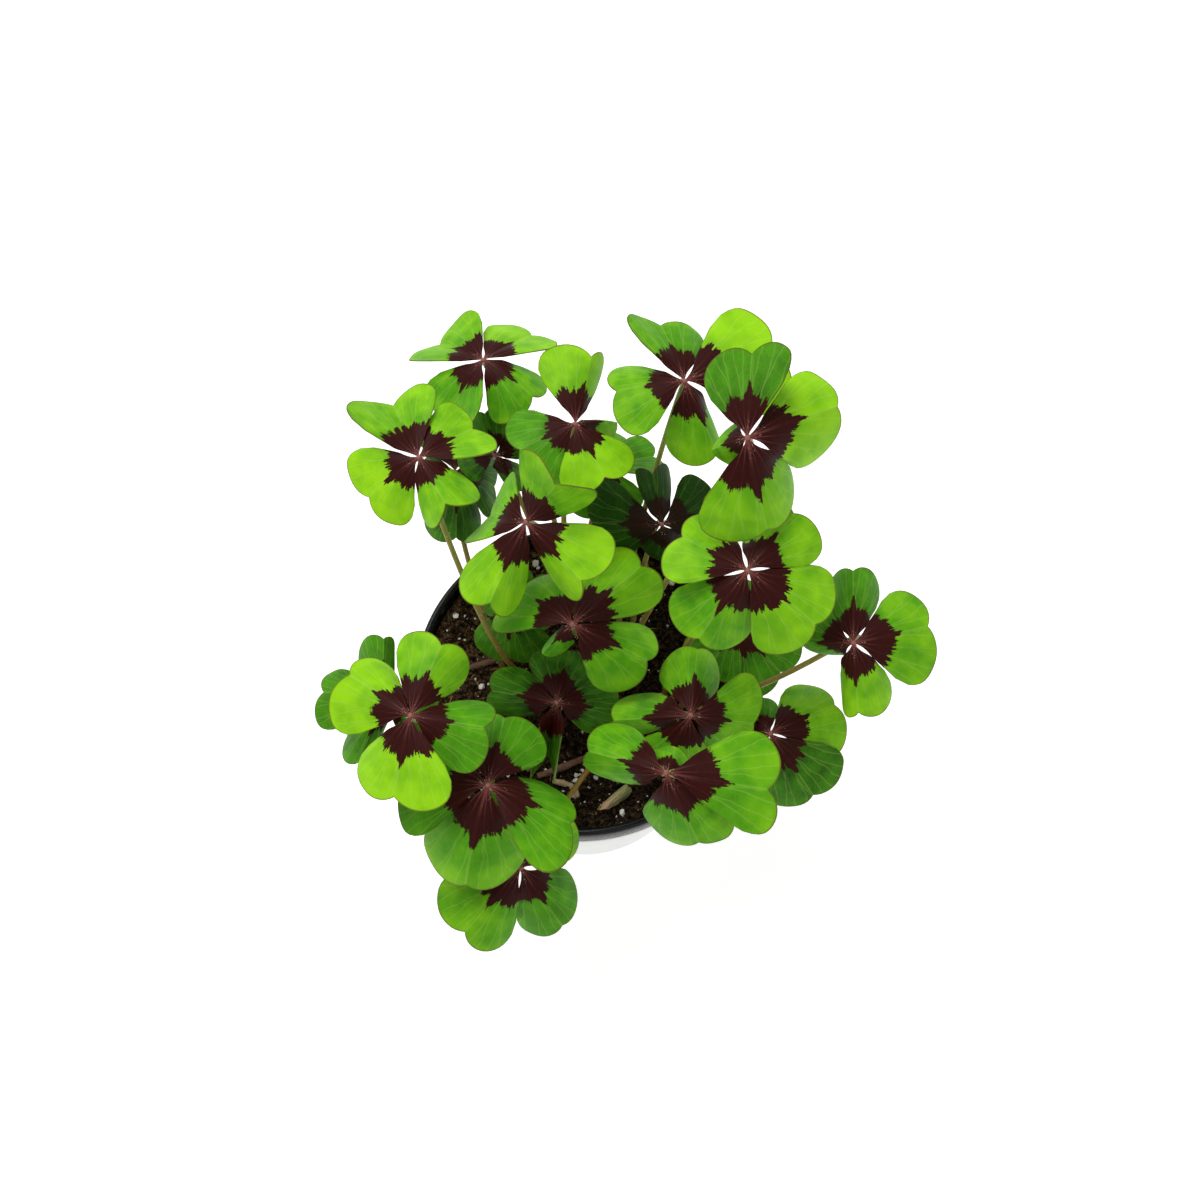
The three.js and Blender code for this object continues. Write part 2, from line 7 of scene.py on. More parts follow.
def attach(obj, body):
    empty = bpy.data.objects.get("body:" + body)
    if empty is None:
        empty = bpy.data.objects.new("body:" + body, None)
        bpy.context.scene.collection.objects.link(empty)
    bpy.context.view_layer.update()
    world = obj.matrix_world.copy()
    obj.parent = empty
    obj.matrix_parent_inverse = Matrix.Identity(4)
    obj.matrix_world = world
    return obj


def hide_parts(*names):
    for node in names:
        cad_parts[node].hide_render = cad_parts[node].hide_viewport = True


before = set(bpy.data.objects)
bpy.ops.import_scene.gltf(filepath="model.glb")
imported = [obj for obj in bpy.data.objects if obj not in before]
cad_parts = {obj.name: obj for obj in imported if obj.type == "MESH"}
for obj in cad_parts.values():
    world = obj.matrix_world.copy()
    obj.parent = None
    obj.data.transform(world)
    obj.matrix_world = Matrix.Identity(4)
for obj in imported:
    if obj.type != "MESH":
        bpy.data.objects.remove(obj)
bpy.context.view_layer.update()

# Potted iron cross oxalis: four-part leaves with a dark mark, on thin stalks, in a black grow pot
# that hangs in a white cover pot. Sizes are in millimetres and turned to metres where a mesh is made.
mm = 0.001
random.seed(7)
noise.seed_set(7)

# Node options that many of the materials share
smoothStep = {"interpolation_type": "SMOOTHSTEP"}
twoColours = {"data_type": "RGBA"}
toEdge = {"feature": "DISTANCE_TO_EDGE"}
plus = {"operation": "ADD"}
minus = {"operation": "SUBTRACT"}
times = {"operation": "MULTIPLY"}
timesPlus = {"operation": "MULTIPLY_ADD"}
absolute = {"operation": "ABSOLUTE"}
greater = {"operation": "MAXIMUM"}


def linear(hexColour):
    values = []
    for i in (1, 3, 5):
        part = int(hexColour[i:i + 2], 16) / 255
        values.append(part / 12.92 if part <= 0.04045 else ((part + 0.055) / 1.055) ** 2.4)
    return (*values, 1)


def addNode(tree, kind, settings=None, links=None, out=0):
    # settings are the node's options, links are the values or sockets that feed it
    node = tree.nodes.new("ShaderNode" + kind)
    for name, value in (settings or {}).items():
        setattr(node, name, value)
    for name, value in (links or {}).items():
        if isinstance(value, bpy.types.NodeSocket):
            tree.links.new(value, node.inputs[name])
        else:
            node.inputs[name].default_value = value
    return node.outputs[out]


def newMaterial(name, finish):
    # finish holds the shader's plain values, which stay on its own sockets
    material = bpy.data.materials.new(name)
    material.use_nodes = True
    shader = material.node_tree.nodes["Principled BSDF"]
    for socket, value in finish.items():
        shader.inputs[socket].default_value = value
    return material, material.node_tree, shader


def mottledMaterial(name, finish, scale, dark, pale, detail=2.0, relief=None):
    # its colour wavers between two, in patches 1 / scale of a metre apart; relief is how strongly and
    # how deep, in metres, the same patches stand up from the surface
    material, tree, shader = newMaterial(name, finish)
    place = addNode(tree, "TexCoord", out=3)
    patches = addNode(tree, "TexNoise", links={"Vector": place, "Scale": scale, "Detail": detail})
    colour = addNode(tree, "Mix", twoColours, {0: patches, 6: linear(dark), 7: linear(pale)}, 2)
    tree.links.new(colour, shader.inputs["Base Color"])
    if relief:
        bump = addNode(tree, "Bump", links={"Height": patches, "Strength": relief[0], "Distance": relief[1]})
        tree.links.new(bump, shader.inputs["Normal"])
    return material, tree, shader


def onlySelect(piece):
    bpy.ops.object.select_all(action="DESELECT")
    piece.select_set(True)
    bpy.context.view_layer.objects.active = piece


def copyOf(source, name):
    piece = source.copy()
    piece.data = source.data.copy()
    piece.name = name
    bpy.context.collection.objects.link(piece)
    return piece


def joined(pieces, name):
    bpy.ops.object.select_all(action="DESELECT")
    for piece in pieces:
        piece.select_set(True)
    bpy.context.view_layer.objects.active = pieces[0]
    bpy.ops.object.join()
    pieces[0].name = name
    return pieces[0]


def placed(piece):
    # its place goes into its mesh, so that the object lies at the origin, unturned and unscaled
    onlySelect(piece)
    bpy.ops.object.transform_apply(location=True, rotation=True, scale=True)
    return piece


def finished(piece, node, angle):
    # creases sharper than the angle stay sharp; the piece stands for its node and rides with the plant
    onlySelect(piece)
    bpy.ops.object.shade_smooth_by_angle(angle=math.radians(angle))
    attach(piece, "root")
    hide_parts(node)


# Camera at the photo's angle: 65 degrees above the level, from the front
camera = {"at": (6.8, -174.6, 523.9), "tilt": 25, "lens": 39, "sensor": 36, "nearest": 10}
bpy.ops.object.camera_add(
    location=[v * mm for v in camera["at"]], rotation=(math.radians(camera["tilt"]), 0, 0))
viewer = bpy.context.object
viewer.data.lens = camera["lens"]
viewer.data.sensor_width = camera["sensor"]
viewer.data.clip_start = camera["nearest"] * mm
bpy.context.scene.camera = viewer

# Studio, in metres: soft light from all round, a little stronger from above and behind on the left
studio = {
    "sky": 0.6, "aim": (0, 0, 0.12), "lightSize": 0.6,
    "lights": (((-0.3, 0.35, 1.05), 6.5), ((0.5, -0.6, 0.8), 0.6)),
    "boardSize": 6, "boardGlow": 0.42,
}
world = bpy.context.scene.world or bpy.data.worlds.new("studio")
bpy.context.scene.world = world
world.use_nodes = True
world.node_tree.nodes["Background"].inputs["Color"].default_value = linear("#ffffff")
world.node_tree.nodes["Background"].inputs["Strength"].default_value = studio["sky"]
bpy.context.scene.view_settings.view_transform = "Standard"
for place, power in studio["lights"]:
    bpy.ops.object.light_add(type="AREA", location=place)
    light = bpy.context.object
    light.data.size = studio["lightSize"]
    light.data.energy = power
    light.rotation_euler = (Vector(studio["aim"]) - Vector(place)).to_track_quat("-Z", "Y").to_euler()

# Opal board lit from below, as under a product photograph: it glows a little, so shadows stay faint
bpy.ops.mesh.primitive_plane_add(size=studio["boardSize"])
floor = bpy.context.object
floor.name = "floor"
boardFinish = {
    "Roughness": 0.9, "Emission Color": linear("#ffffff"), "Emission Strength": studio["boardGlow"],
}
board, boardTree, boardShader = newMaterial("acrylic_opal_board", boardFinish)
mottle = addNode(boardTree, "TexNoise", links={"Scale": 3.0})
boardWhites = {0: mottle, 6: linear("#f6f6f5"), 7: linear("#fbfbfa")}
boardTree.links.new(addNode(boardTree, "Mix", twoColours, boardWhites, 2), boardShader.inputs["Base Color"])
floor.data.materials.append(board)
print("camera, light and floor are set")

# Crowns that the stalks rise from, and one row for each leaf, both as in the part's source. Each of a
# leaf's four leaflets has its droop, the fold of its left and right half, its share of the length and
# its turn from a right angle. The leaf's brightness runs from dark to bright green and is partly painted
# shade, set low on leaves that lie in the shade of others; a painted light and shade for each leaflet
# adds to it, darker on halves turned from the light and lighter on those turned to it.
crowns = {
    "front": (9, -25), "left": (-25, 5), "side": (-30, -19),
    "back": (-6, 31), "middle": (15, 10), "right": (33, -8),
}
leaves = [
    {"at": (-32, 80, 167), "length": 26, "lean": 19, "toward": 125, "heading": 41, "crown": "back",
     "toneAndShade": 0.58, "paintedLightAndShade": (0.2, 0.08, -0.05, -0.02), "bow": (3, 10, 1, 9),
     "leaflets": ((15, 0, -5, 1, 8), (10, -15, -15, 1.05, 8),
                  (35, -10, -10, 0.95, 2), (30, 30, 40, 0.95, 14))},
    {"at": (-50, 38, 174), "length": 26, "lean": 7, "toward": -135, "heading": 30, "crown": "left",
     "toneAndShade": 0.98, "paintedLightAndShade": (-0.25, -0.3, -0.05, -0.28), "bow": (-8, -12, 0, -6),
     "leaflets": ((20, -5, -20, 0.95, 9), (15, -35, -10, 1.1, -4),
                  (22, 30, -10, 0.95, 0), (-5, 35, 50, 0.9, -1))},
    {"at": (-1, 49, 176), "length": 24, "lean": 12, "toward": -15, "heading": 18, "crown": "back",
     "toneAndShade": 0.72, "paintedLightAndShade": (0, 0.02, -0.33, 0.2), "bow": (-5, 0, 1, -1),
     "leaflets": ((30, 70, 70, 0.95, 7), (-15, 10, 65, 1.1, -29),
                  (15, 20, 15, 0.95, 9), (10, 0, 25, 0.95, 13))},
    {"at": (33, 57, 188), "length": 30, "lean": 10, "toward": -40, "heading": 20, "crown": "middle",
     "toneAndShade": 0.7, "paintedLightAndShade": (0.22, -0.2, -0.08, -0.02),
     "leaflets": ((0, 10, 20, 1.2, 5), (15, -30, 20, 0.9, -4),
                  (10, 10, 30, 0.83, -11), (25, 58, 58, 0.98, 10))},
    {"at": (49, 25, 206), "length": 33, "lean": 32, "toward": -125, "heading": 6, "crown": "middle",
     "toneAndShade": 0.66, "paintedLightAndShade": (0.2, -0.38, 0, 0.05),
     "leaflets": ((35, 25, 55, 1.08, 17), (5, 25, -15, 0.85, -8),
                  (45, 50, 50, 0.65, 5), (30, 65, 0, 1.05, 2))},
    {"at": (-29, 58, 142), "length": 18, "lean": 40, "toward": -90, "heading": 21, "crown": "back",
     "toneAndShade": 0.1,
     "leaflets": ((20, 25, 45, 0.85, 6), (15, 35, 30, 0.95, -2),
                  (30, 20, 30, 1, -14), (15, 60, 65, 1, 14))},
    {"at": (-16, 16, 172), "length": 28, "lean": 30, "toward": -115, "heading": -36, "crown": "back",
     "toneAndShade": 0.7, "paintedLightAndShade": (0.15, -0.05, -0.05, 0.1),
     "leaflets": ((0, 10, 50, 1.05, -14), (-40, 5, 45, 0.9, -18),
                  (45, -40, 15, 0.9, 23), (0, 70, 25, 1.15, 7))},
    {"at": (27, 27, 150), "length": 25, "lean": 44, "toward": -85, "heading": 14, "crown": "middle",
     "toneAndShade": -0.3,
     "leaflets": ((25, 30, 20, 0.95, -1), (0, 60, 55, 0.8, 1),
                  (20, 30, 25, 1.1, -7), (35, 45, 45, 0.95, 7))},
    {"at": (51, -2, 175), "length": 29, "lean": 10, "toward": -90, "heading": -35, "crown": "right",
     "toneAndShade": 0.7, "paintedLightAndShade": (0, 0.02, 0, -0.12), "bow": (-2, 0, -1, 1),
     "leaflets": ((20, 15, 40, 1.1, 0), (5, 50, 25, 0.95, -4), (5, 0, 30, 0.9, 5), (30, 50, 20, 1.05, -3))},
    {"at": (86, -15, 150), "length": 27, "lean": 28, "toward": -120, "heading": 5, "crown": "right",
     "toneAndShade": 0.56, "paintedLightAndShade": (0.05, -0.17, -0.2, 0.2), "bow": (12, -24, 12, 12),
     "leaflets": ((25, 30, 15, 1.1, 8), (15, 55, 55, 1, -4),
                  (40, 70, 20, 0.95, -3), (5, 45, 65, 0.95, -1))},
    {"at": (-2, -6, 144), "length": 32, "lean": 10, "toward": -55, "heading": 50, "crown": "middle",
     "toneAndShade": 0.46, "paintedLightAndShade": (0.2, 0.1, 0, 0.1),
     "leaflets": ((0, 40, 40, 1.1, -7), (35, 5, 20, 0.95, -1),
                  (45, 70, 70, 0.58, -10), (15, 30, 50, 1, 19))},
    {"at": (-51, -39, 150), "length": 28, "lean": 9, "toward": -105, "heading": -19, "crown": "side",
     "toneAndShade": 0.82, "paintedLightAndShade": (-0.38, -0.15, 0.1, 0.1), "bow": (-3, -1, -2, 0),
     "leaflets": ((5, 45, 25, 0.95, 10), (5, 15, 50, 1, -2), (5, 20, 45, 1, -15), (15, -5, 30, 1.05, 7))},
    {"at": (-8, -20, 110), "length": 25, "lean": 22, "toward": -95, "heading": -11, "crown": "front",
     "toneAndShade": 0.14, "bow": (1, 0, 1, 1),
     "leaflets": ((15, 40, 45, 0.95, 3), (30, 20, 45, 0.95, -2),
                  (5, 55, 50, 1.05, 0), (30, -72, -72, 1, 0))},
    {"at": (36, -31, 128), "length": 28, "lean": 26, "toward": -90, "heading": -11, "crown": "front",
     "toneAndShade": 0.62,
     "leaflets": ((25, 5, 35, 1, 0), (25, 45, 50, 0.95, 2), (20, 60, 65, 1.1, 16), (30, 20, 20, 1, -17))},
    {"at": (27, -54, 140), "length": 31, "lean": 21, "toward": -105, "heading": 82, "crown": "front",
     "toneAndShade": 0.56, "paintedLightAndShade": (0, 0, -0.05, -0.02), "bow": (-5, 0, -3, 0),
     "leaflets": ((50, 30, 30, 0.45, -12), (10, 60, 50, 0.95, -8),
                  (30, 5, 45, 1.05, 30), (8, 30, 10, 1.2, -3))},
    {"at": (63, -33, 116), "length": 30, "lean": 16, "toward": -145, "heading": 28, "crown": "right",
     "toneAndShade": 0.2, "paintedLightAndShade": (0.5, 0, 0, -0.08),
     "leaflets": ((25, 35, 30, 1, -2), (15, 25, 35, 0.5, 0), (28, 45, 45, 0.7, 0), (30, 15, 35, 1, 4))},
    {"at": (-28, -56, 134), "length": 34, "lean": 6, "toward": 105, "heading": -17, "crown": "side",
     "toneAndShade": 0.38, "paintedLightAndShade": (0.1, 0, 0, 0.18),
     "leaflets": ((25, 45, -10, 1, -2), (5, 35, 30, 0.82, 7), (20, 20, 20, 1, 0), (40, 50, 30, 1.15, 0))},
    {"at": (-19, -75, 104), "length": 29, "lean": 14, "toward": -80, "heading": -46, "crown": "front",
     "toneAndShade": 0.57, "paintedLightAndShade": (-0.2, 0, 0, 0),
     "leaflets": ((25, 45, 40, 1.02, -8), (15, 10, 40, 0.9, 9), (15, 10, 10, 1, 2), (10, 40, 25, 1.1, 4))},
    {"at": (-44, 59, 130), "length": 26, "lean": 14, "toward": -20, "heading": 5, "crown": "left",
     "toneAndShade": 0.05, "bow": (-3, 0, -2, 0),
     "leaflets": ((40, -5, 5, 0.9, -1), (15, 5, 5, 1, 0), (38, 8, 8, 0.6, 0), (25, 45, 50, 1.05, 1))},
    {"at": (-64, -25, 126), "length": 24, "lean": 22, "toward": -15, "heading": -7, "crown": "side",
     "toneAndShade": 0.3,
     "leaflets": ((15, 5, 5, 0.9, 0), (0, 60, 60, 1, 10), (20, 10, 30, 0.95, 0), (20, 65, 65, 1.05, -8))},
    {"at": (7, 56, 139), "length": 21, "lean": 12, "toward": 95, "heading": 8, "crown": "back",
     "toneAndShade": 0.3,
     "leaflets": ((5, 5, -20, 1.05, 8), (15, 5, 5, 1, 0), (5, 10, 5, 0.85, -8), (15, 5, 5, 1, 0))},
    {"at": (55, 12, 103), "length": 22, "lean": 11, "toward": -60, "heading": -43, "crown": "right",
     "toneAndShade": 0.22,
     "leaflets": ((15, 5, 10, 1.25, 0), (15, 5, 5, 0.9, 0), (15, 5, 5, 1, 0), (15, 5, 5, 0.95, 12))},
    {"at": (-25, 17, 112), "length": 22, "lean": 33, "toward": -105, "heading": -4, "crown": "left",
     "toneAndShade": 0.2,
     "leaflets": ((15, 8, 8, 0.8, 0), (15, 8, 8, 0.6, 0), (15, 8, 8, 0.5, 0), (20, 20, 20, 1.2, 0))},
]
leafForm = {
    "cutAcross": 32, "cutAlong": 20, "baseShare": 0.02, "thickness": 0.4, "slit": -1.5,
    "leastSpread": 30, "mostSpread": 50, "lobeReach": 0.68, "lobeRadius": 0.32, "lobeSwing": 0.7,
    "shoulderStart": 0.72, "shoulderLoss": 0.26, "hubDepth": 1.3, "ruffle": 0.5, "lift": 0.55, "cup": 0.7,
    "knotRadius": 0.85, "knotDrop": 0.45,
}
soilTop = 77
moundHeight = 2.0
stalkForm = {
    "radius": 1.05, "tipShare": 0.8, "ring": 3.5, "foot": 66, "gap": 0.3, "lowBend": 0.4, "highBend": 0.3,
    "intoKnot": 0.7, "hairsFrom": 4,
}


def smooth(x):
    s = min(1, max(0, x))
    return s * s * (3 - 2 * s)


def outlineRadius(t):
    # two round lobes meet in the notch, and the outer shoulders are rounded off
    swing = leafForm["lobeSwing"] * (t - 0.5)
    reach = leafForm["lobeReach"]
    lobe = reach * math.cos(swing) + math.sqrt(leafForm["lobeRadius"] ** 2 - (reach * math.sin(swing)) ** 2)
    past = max(0, (t - leafForm["shoulderStart"]) / (1 - leafForm["shoulderStart"]))
    return lobe * (1 - leafForm["shoulderLoss"] * (1 - math.sqrt(max(0, 1 - past * past))))


def flatPoint(rho, t, spread):
    # a point of the flat leaflet, along and across its midrib, as shares of its length
    side = abs(t)
    angle = math.radians(spread) * side * (0.72 + 0.28 * smooth((rho - 0.04) / 0.42))
    radius = rho * outlineRadius(side)
    return radius * math.cos(angle), math.copysign(radius * math.sin(angle), t)


def leafAxes(leaf):
    lean, toward, heading = (math.radians(leaf[key]) for key in ("lean", "toward", "heading"))
    normal = Vector((math.sin(lean) * math.cos(toward), math.sin(lean) * math.sin(toward), math.cos(lean)))
    first = Vector((math.cos(heading), math.sin(heading), 0))
    first = (first - normal * first.dot(normal)).normalized()
    return Vector(leaf["at"]), normal, first, normal.cross(first)


def bladePoint(axes, leaf, k, along, across):
    # the midrib arches down ever more, and each half falls away from it
    hub, normal, first, second = axes
    droop, leftFold, rightFold, share, turn = leaf["leaflets"][k]
    yaw = math.radians(90 * k + turn)
    reach = leaf["length"] * share
    out = first * math.cos(yaw) + second * math.sin(yaw)
    left = normal.cross(out)
    start = math.radians(droop) * 0.5
    span = math.radians(droop) * along
    end = start + span
    forward = (math.sin(end) - math.sin(start)) / span if abs(span) > 1e-6 else math.cos(start)
    down = (math.cos(start) - math.cos(end)) / span if abs(span) > 1e-6 else math.sin(start)
    closing = 0.35 + 0.65 * smooth(along / 0.35)
    fold = math.radians(leftFold if across >= 0 else rightFold) * (0.7 + 0.6 * abs(across)) * closing
    up = out * math.sin(end) + normal * math.cos(end)
    point = hub + out * (reach * along * forward) - normal * (reach * along * down)
    point += left * (reach * across * math.cos(fold)) - up * (reach * abs(across) * math.sin(fold))
    return point, up


def halfAngle(turn, nextTurn):
    half = (90 + nextTurn - turn) / 2 - leafForm["slit"]
    return min(leafForm["mostSpread"], max(leafForm["leastSpread"], half))


# What is drawn on a leaf. Lengths are shares of the leaflet's length, so 0.01 is about 0.3 mm.
leafPaint = {
    "patchScale": 4.0, "grainScale": 26.0,
    "teethPerRadian": 8.0, "markStart": 0.2, "toothReach": 0.34, "spikeAngle": 0.13, "spikeReach": 0.11,
    "raggedReach": 0.13, "markEdge": (-0.012, 0.016),
    "veinsPerRadian": 4.0, "veinSway": 0.12, "veinWidth": 0.045, "pinkVeinWidth": 0.03, "veinStrength": 0.2,
    "forkFrom": 0.25, "forkTo": 0.8, "forkDelay": 0.35, "forkShare": 0.26, "netScale": 17.0, "netWidth": 0.12,
    "midribWidth": (0.003, 0.014), "marginWidth": (0.004, 0.02),
    # the near-black green #0d1a0a is painted shade for the leaves low in the shade of others
    "vein": "#c2e070", "margin": "#5c4a1c", "blush": "#6e302c", "pink": "#985c54", "shadeGreen": "#0d1a0a",
    "upper": {"greens": ("#245607", "#4f980c", "#92d212"), "mark": ("#3f0e0a", "#1f0705"), "shadeStrength": 0.8},
    "under": {"greens": ("#5c8a40", "#86b258", "#a8cb78"), "mark": ("#6a4a40", "#5a3b34"), "shadeStrength": 0.2},
}


def leafColour(tree, tints):
    # drawn in the leaflet's own flat plane: the toothed mark round the hub, the veins, the red margin
    paint = leafPaint
    plane = addNode(tree, "UVMap", {"uv_map": "leaflet"})
    seed = addNode(tree, "Attribute", {"attribute_name": "seed"}, out=2)
    toneAndShade = addNode(tree, "Attribute", {"attribute_name": "toneAndShade"}, out=2)
    rim = addNode(tree, "Attribute", {"attribute_name": "rim"}, out=2)
    split = addNode(tree, "SeparateXYZ", links={0: plane}).node
    across, along = split.outputs[0], split.outputs[1]
    side = addNode(tree, "Math", absolute, {0: across})
    radius = addNode(tree, "VectorMath", {"operation": "LENGTH"}, {0: plane}, 1)
    turn = addNode(tree, "Math", {"operation": "ARCTAN2"}, {0: across, 1: along})
    angle = addNode(tree, "Math", absolute, {0: turn})
    spot = addNode(tree, "CombineXYZ", links={0: across, 1: along, 2: seed})
    broad = addNode(tree, "TexNoise", links={"Vector": spot, "Scale": paint["patchScale"], "Detail": 2.0})
    ragged = {"Vector": spot, "Scale": paint["grainScale"], "Detail": 4.0, "Roughness": 0.65}
    ragged = addNode(tree, "TexNoise", links=ragged)

    # teeth of the mark: 1 to 2 mm apart at 12 mm from the hub, each drawn out along a vein
    fanned = addNode(tree, "Math", timesPlus, {0: turn, 1: paint["teethPerRadian"], 2: seed})
    rays = addNode(tree, "CombineXYZ", links={0: fanned, 1: radius, 2: seed})
    teeth = addNode(tree, "TexNoise", links={"Vector": rays, "Scale": 1.0, "Detail": 3.0, "Roughness": 0.7})
    spike = {0: angle, 1: 0.0, 2: paint["spikeAngle"], 3: paint["spikeReach"], 4: 0.0}
    spike = addNode(tree, "MapRange", smoothStep, spike)
    edge = addNode(tree, "Math", timesPlus, {0: teeth, 1: paint["toothReach"], 2: paint["markStart"]})
    edge = addNode(tree, "Math", plus, {0: edge, 1: spike})
    edge = addNode(tree, "Math", timesPlus, {0: ragged, 1: paint["raggedReach"], 2: edge})
    below = addNode(tree, "Math", minus, {0: edge, 1: radius})
    mark = {0: below, 1: paint["markEdge"][0], 2: paint["markEdge"][1]}
    mark = addNode(tree, "MapRange", smoothStep, mark)

    # veins leave the hub nearly straight, a quarter of a radian apart, and each forks on its way to the rim
    bowed = addNode(tree, "Math", timesPlus, {0: broad, 1: paint["veinSway"], 2: turn})
    fan = addNode(tree, "Math", times, {0: bowed, 1: paint["veinsPerRadian"]})
    veinNumber = addNode(tree, "Math", {"operation": "ROUND"}, {0: fan})
    fromVein = addNode(tree, "Math", minus, {0: fan, 1: veinNumber})
    fromVein = addNode(tree, "Math", absolute, {0: fromVein})
    ownPlace = addNode(tree, "CombineXYZ", links={0: veinNumber, 1: seed})
    chance = addNode(tree, "TexWhiteNoise", links={"Vector": ownPlace})
    pastFork = addNode(tree, "Math", timesPlus, {0: chance, 1: -paint["forkDelay"], 2: radius})
    branch = {0: pastFork, 1: paint["forkFrom"], 2: paint["forkTo"], 3: 0.0, 4: paint["forkShare"]}
    branch = addNode(tree, "MapRange", {}, branch)
    away = addNode(tree, "Math", minus, {0: fromVein, 1: branch})
    away = addNode(tree, "Math", absolute, {0: away})
    away = addNode(tree, "Math", times, {0: away, 1: radius})
    sideVein = addNode(tree, "MapRange", smoothStep, {0: away, 1: 0.0, 2: paint["veinWidth"], 3: 0.8, 4: 0.0})
    net = addNode(tree, "TexVoronoi", toEdge, {"Vector": spot, "Scale": paint["netScale"]})
    fineVein = addNode(tree, "MapRange", smoothStep, {0: net, 1: 0.0, 2: paint["netWidth"], 3: 0.16, 4: 0.0})
    midrib = {0: side, 1: paint["midribWidth"][0], 2: paint["midribWidth"][1], 3: 0.8, 4: 0.0}
    midrib = addNode(tree, "MapRange", smoothStep, midrib)
    vein = addNode(tree, "Math", greater, {0: sideVein, 1: midrib})
    vein = addNode(tree, "Math", greater, {0: vein, 1: fineVein})
    margin = {0: rim, 1: paint["marginWidth"][0], 2: paint["marginWidth"][1], 3: 0.8, 4: 0.0}
    margin = addNode(tree, "MapRange", smoothStep, margin)
    margin = addNode(tree, "Math", times, {0: margin, 1: radius})

    # a leaf is brighter toward its rim, and in soft patches; its brightness from the leaf's row is partly
    # painted shade and painted light
    lit = addNode(tree, "Math", timesPlus, {0: broad, 1: 0.7, 2: toneAndShade})
    lit = addNode(tree, "Math", timesPlus, {0: radius, 1: 0.25, 2: lit})
    lit = addNode(tree, "Math", plus, {0: lit, 1: -0.52})
    low = addNode(tree, "MapRange", {}, {0: lit, 1: 0.0, 2: 0.5})
    high = addNode(tree, "MapRange", {}, {0: lit, 1: 0.5, 2: 1.0})
    deepGreen, midGreen, brightGreen = (linear(tint) for tint in tints["greens"])
    green = addNode(tree, "Mix", twoColours, {0: low, 6: deepGreen, 7: midGreen}, 2)
    green = addNode(tree, "Mix", twoColours, {0: high, 6: green, 7: brightGreen}, 2)
    faint = addNode(tree, "Math", times, {0: vein, 1: paint["veinStrength"]})
    green = addNode(tree, "Mix", twoColours, {0: faint, 6: green, 7: linear(paint["vein"])}, 2)
    green = addNode(tree, "Mix", twoColours, {0: margin, 6: green, 7: linear(paint["margin"])}, 2)

    # inside the mark a few veins show pink near the hub and fade outwards
    pinkVein = {0: away, 1: 0.0, 2: paint["pinkVeinWidth"], 3: 0.8, 4: 0.0}
    pinkVein = addNode(tree, "MapRange", smoothStep, pinkVein)
    pinkVein = addNode(tree, "Math", greater, {0: pinkVein, 1: midrib})
    near = addNode(tree, "MapRange", smoothStep, {0: radius, 1: 0.04, 2: 0.32, 3: 0.42, 4: 0.04})
    pink = addNode(tree, "Math", times, {0: pinkVein, 1: near})
    blush = addNode(tree, "MapRange", smoothStep, {0: radius, 1: 0.02, 2: 0.14, 3: 0.5, 4: 0.0})
    maroon, deepMaroon = (linear(tint) for tint in tints["mark"])
    dark = addNode(tree, "Mix", twoColours, {0: ragged, 6: maroon, 7: deepMaroon}, 2)
    dark = addNode(tree, "Mix", twoColours, {0: blush, 6: dark, 7: linear(paint["blush"])}, 2)
    dark = addNode(tree, "Mix", twoColours, {0: pink, 6: dark, 7: linear(paint["pink"])}, 2)
    skin = addNode(tree, "Mix", twoColours, {0: mark, 6: green, 7: dark}, 2)

    # painted shade: where a leaf's brightness runs lowest, on the leaves low in the shade of the others, its
    # colour is drawn toward a near-black green
    deep = addNode(tree, "MapRange", {}, {0: lit, 1: -0.6, 2: 0.05, 3: tints["shadeStrength"], 4: 0.0})
    raised = addNode(tree, "Math", timesPlus, {0: ragged, 1: 0.5, 2: vein})
    return addNode(tree, "Mix", twoColours, {0: deep, 6: skin, 7: linear(paint["shadeGreen"])}, 2), raised


def leafMaterial(name, finish, tints, relief):
    material, tree, shader = newMaterial(name, finish)
    colour, raised = leafColour(tree, tints)
    tree.links.new(colour, shader.inputs["Base Color"])
    bump = addNode(tree, "Bump", links={"Height": raised, "Strength": relief, "Distance": 0.0003})
    tree.links.new(bump, shader.inputs["Normal"])
    return material


# Living leaf, upper side: a thin waxy skin over soft tissue, so a broad dull gloss and no sharp glint
upperFinish = {
    "Roughness": 0.5, "IOR": 1.42, "Specular IOR Level": 0.12,
    "Subsurface Weight": 0.12, "Subsurface Scale": 0.001,
}
leafTop = leafMaterial("living_leaf_upper", upperFinish, leafPaint["upper"], 0.25)
# Living leaf, underside: paler, duller and with the mark only half showing through
underFinish = {"Roughness": 0.65, "IOR": 1.42}
leafUnder = leafMaterial("living_leaf_underside", underFinish, leafPaint["under"], 0.4)
# Hub: the pinkish knot where the four leaflets meet
hubFinish = {"Roughness": 0.55, "IOR": 1.42}
leafHub = mottledMaterial("living_leaf_joint", hubFinish, 1800.0, "#7a3a38", "#a8706a")[0]
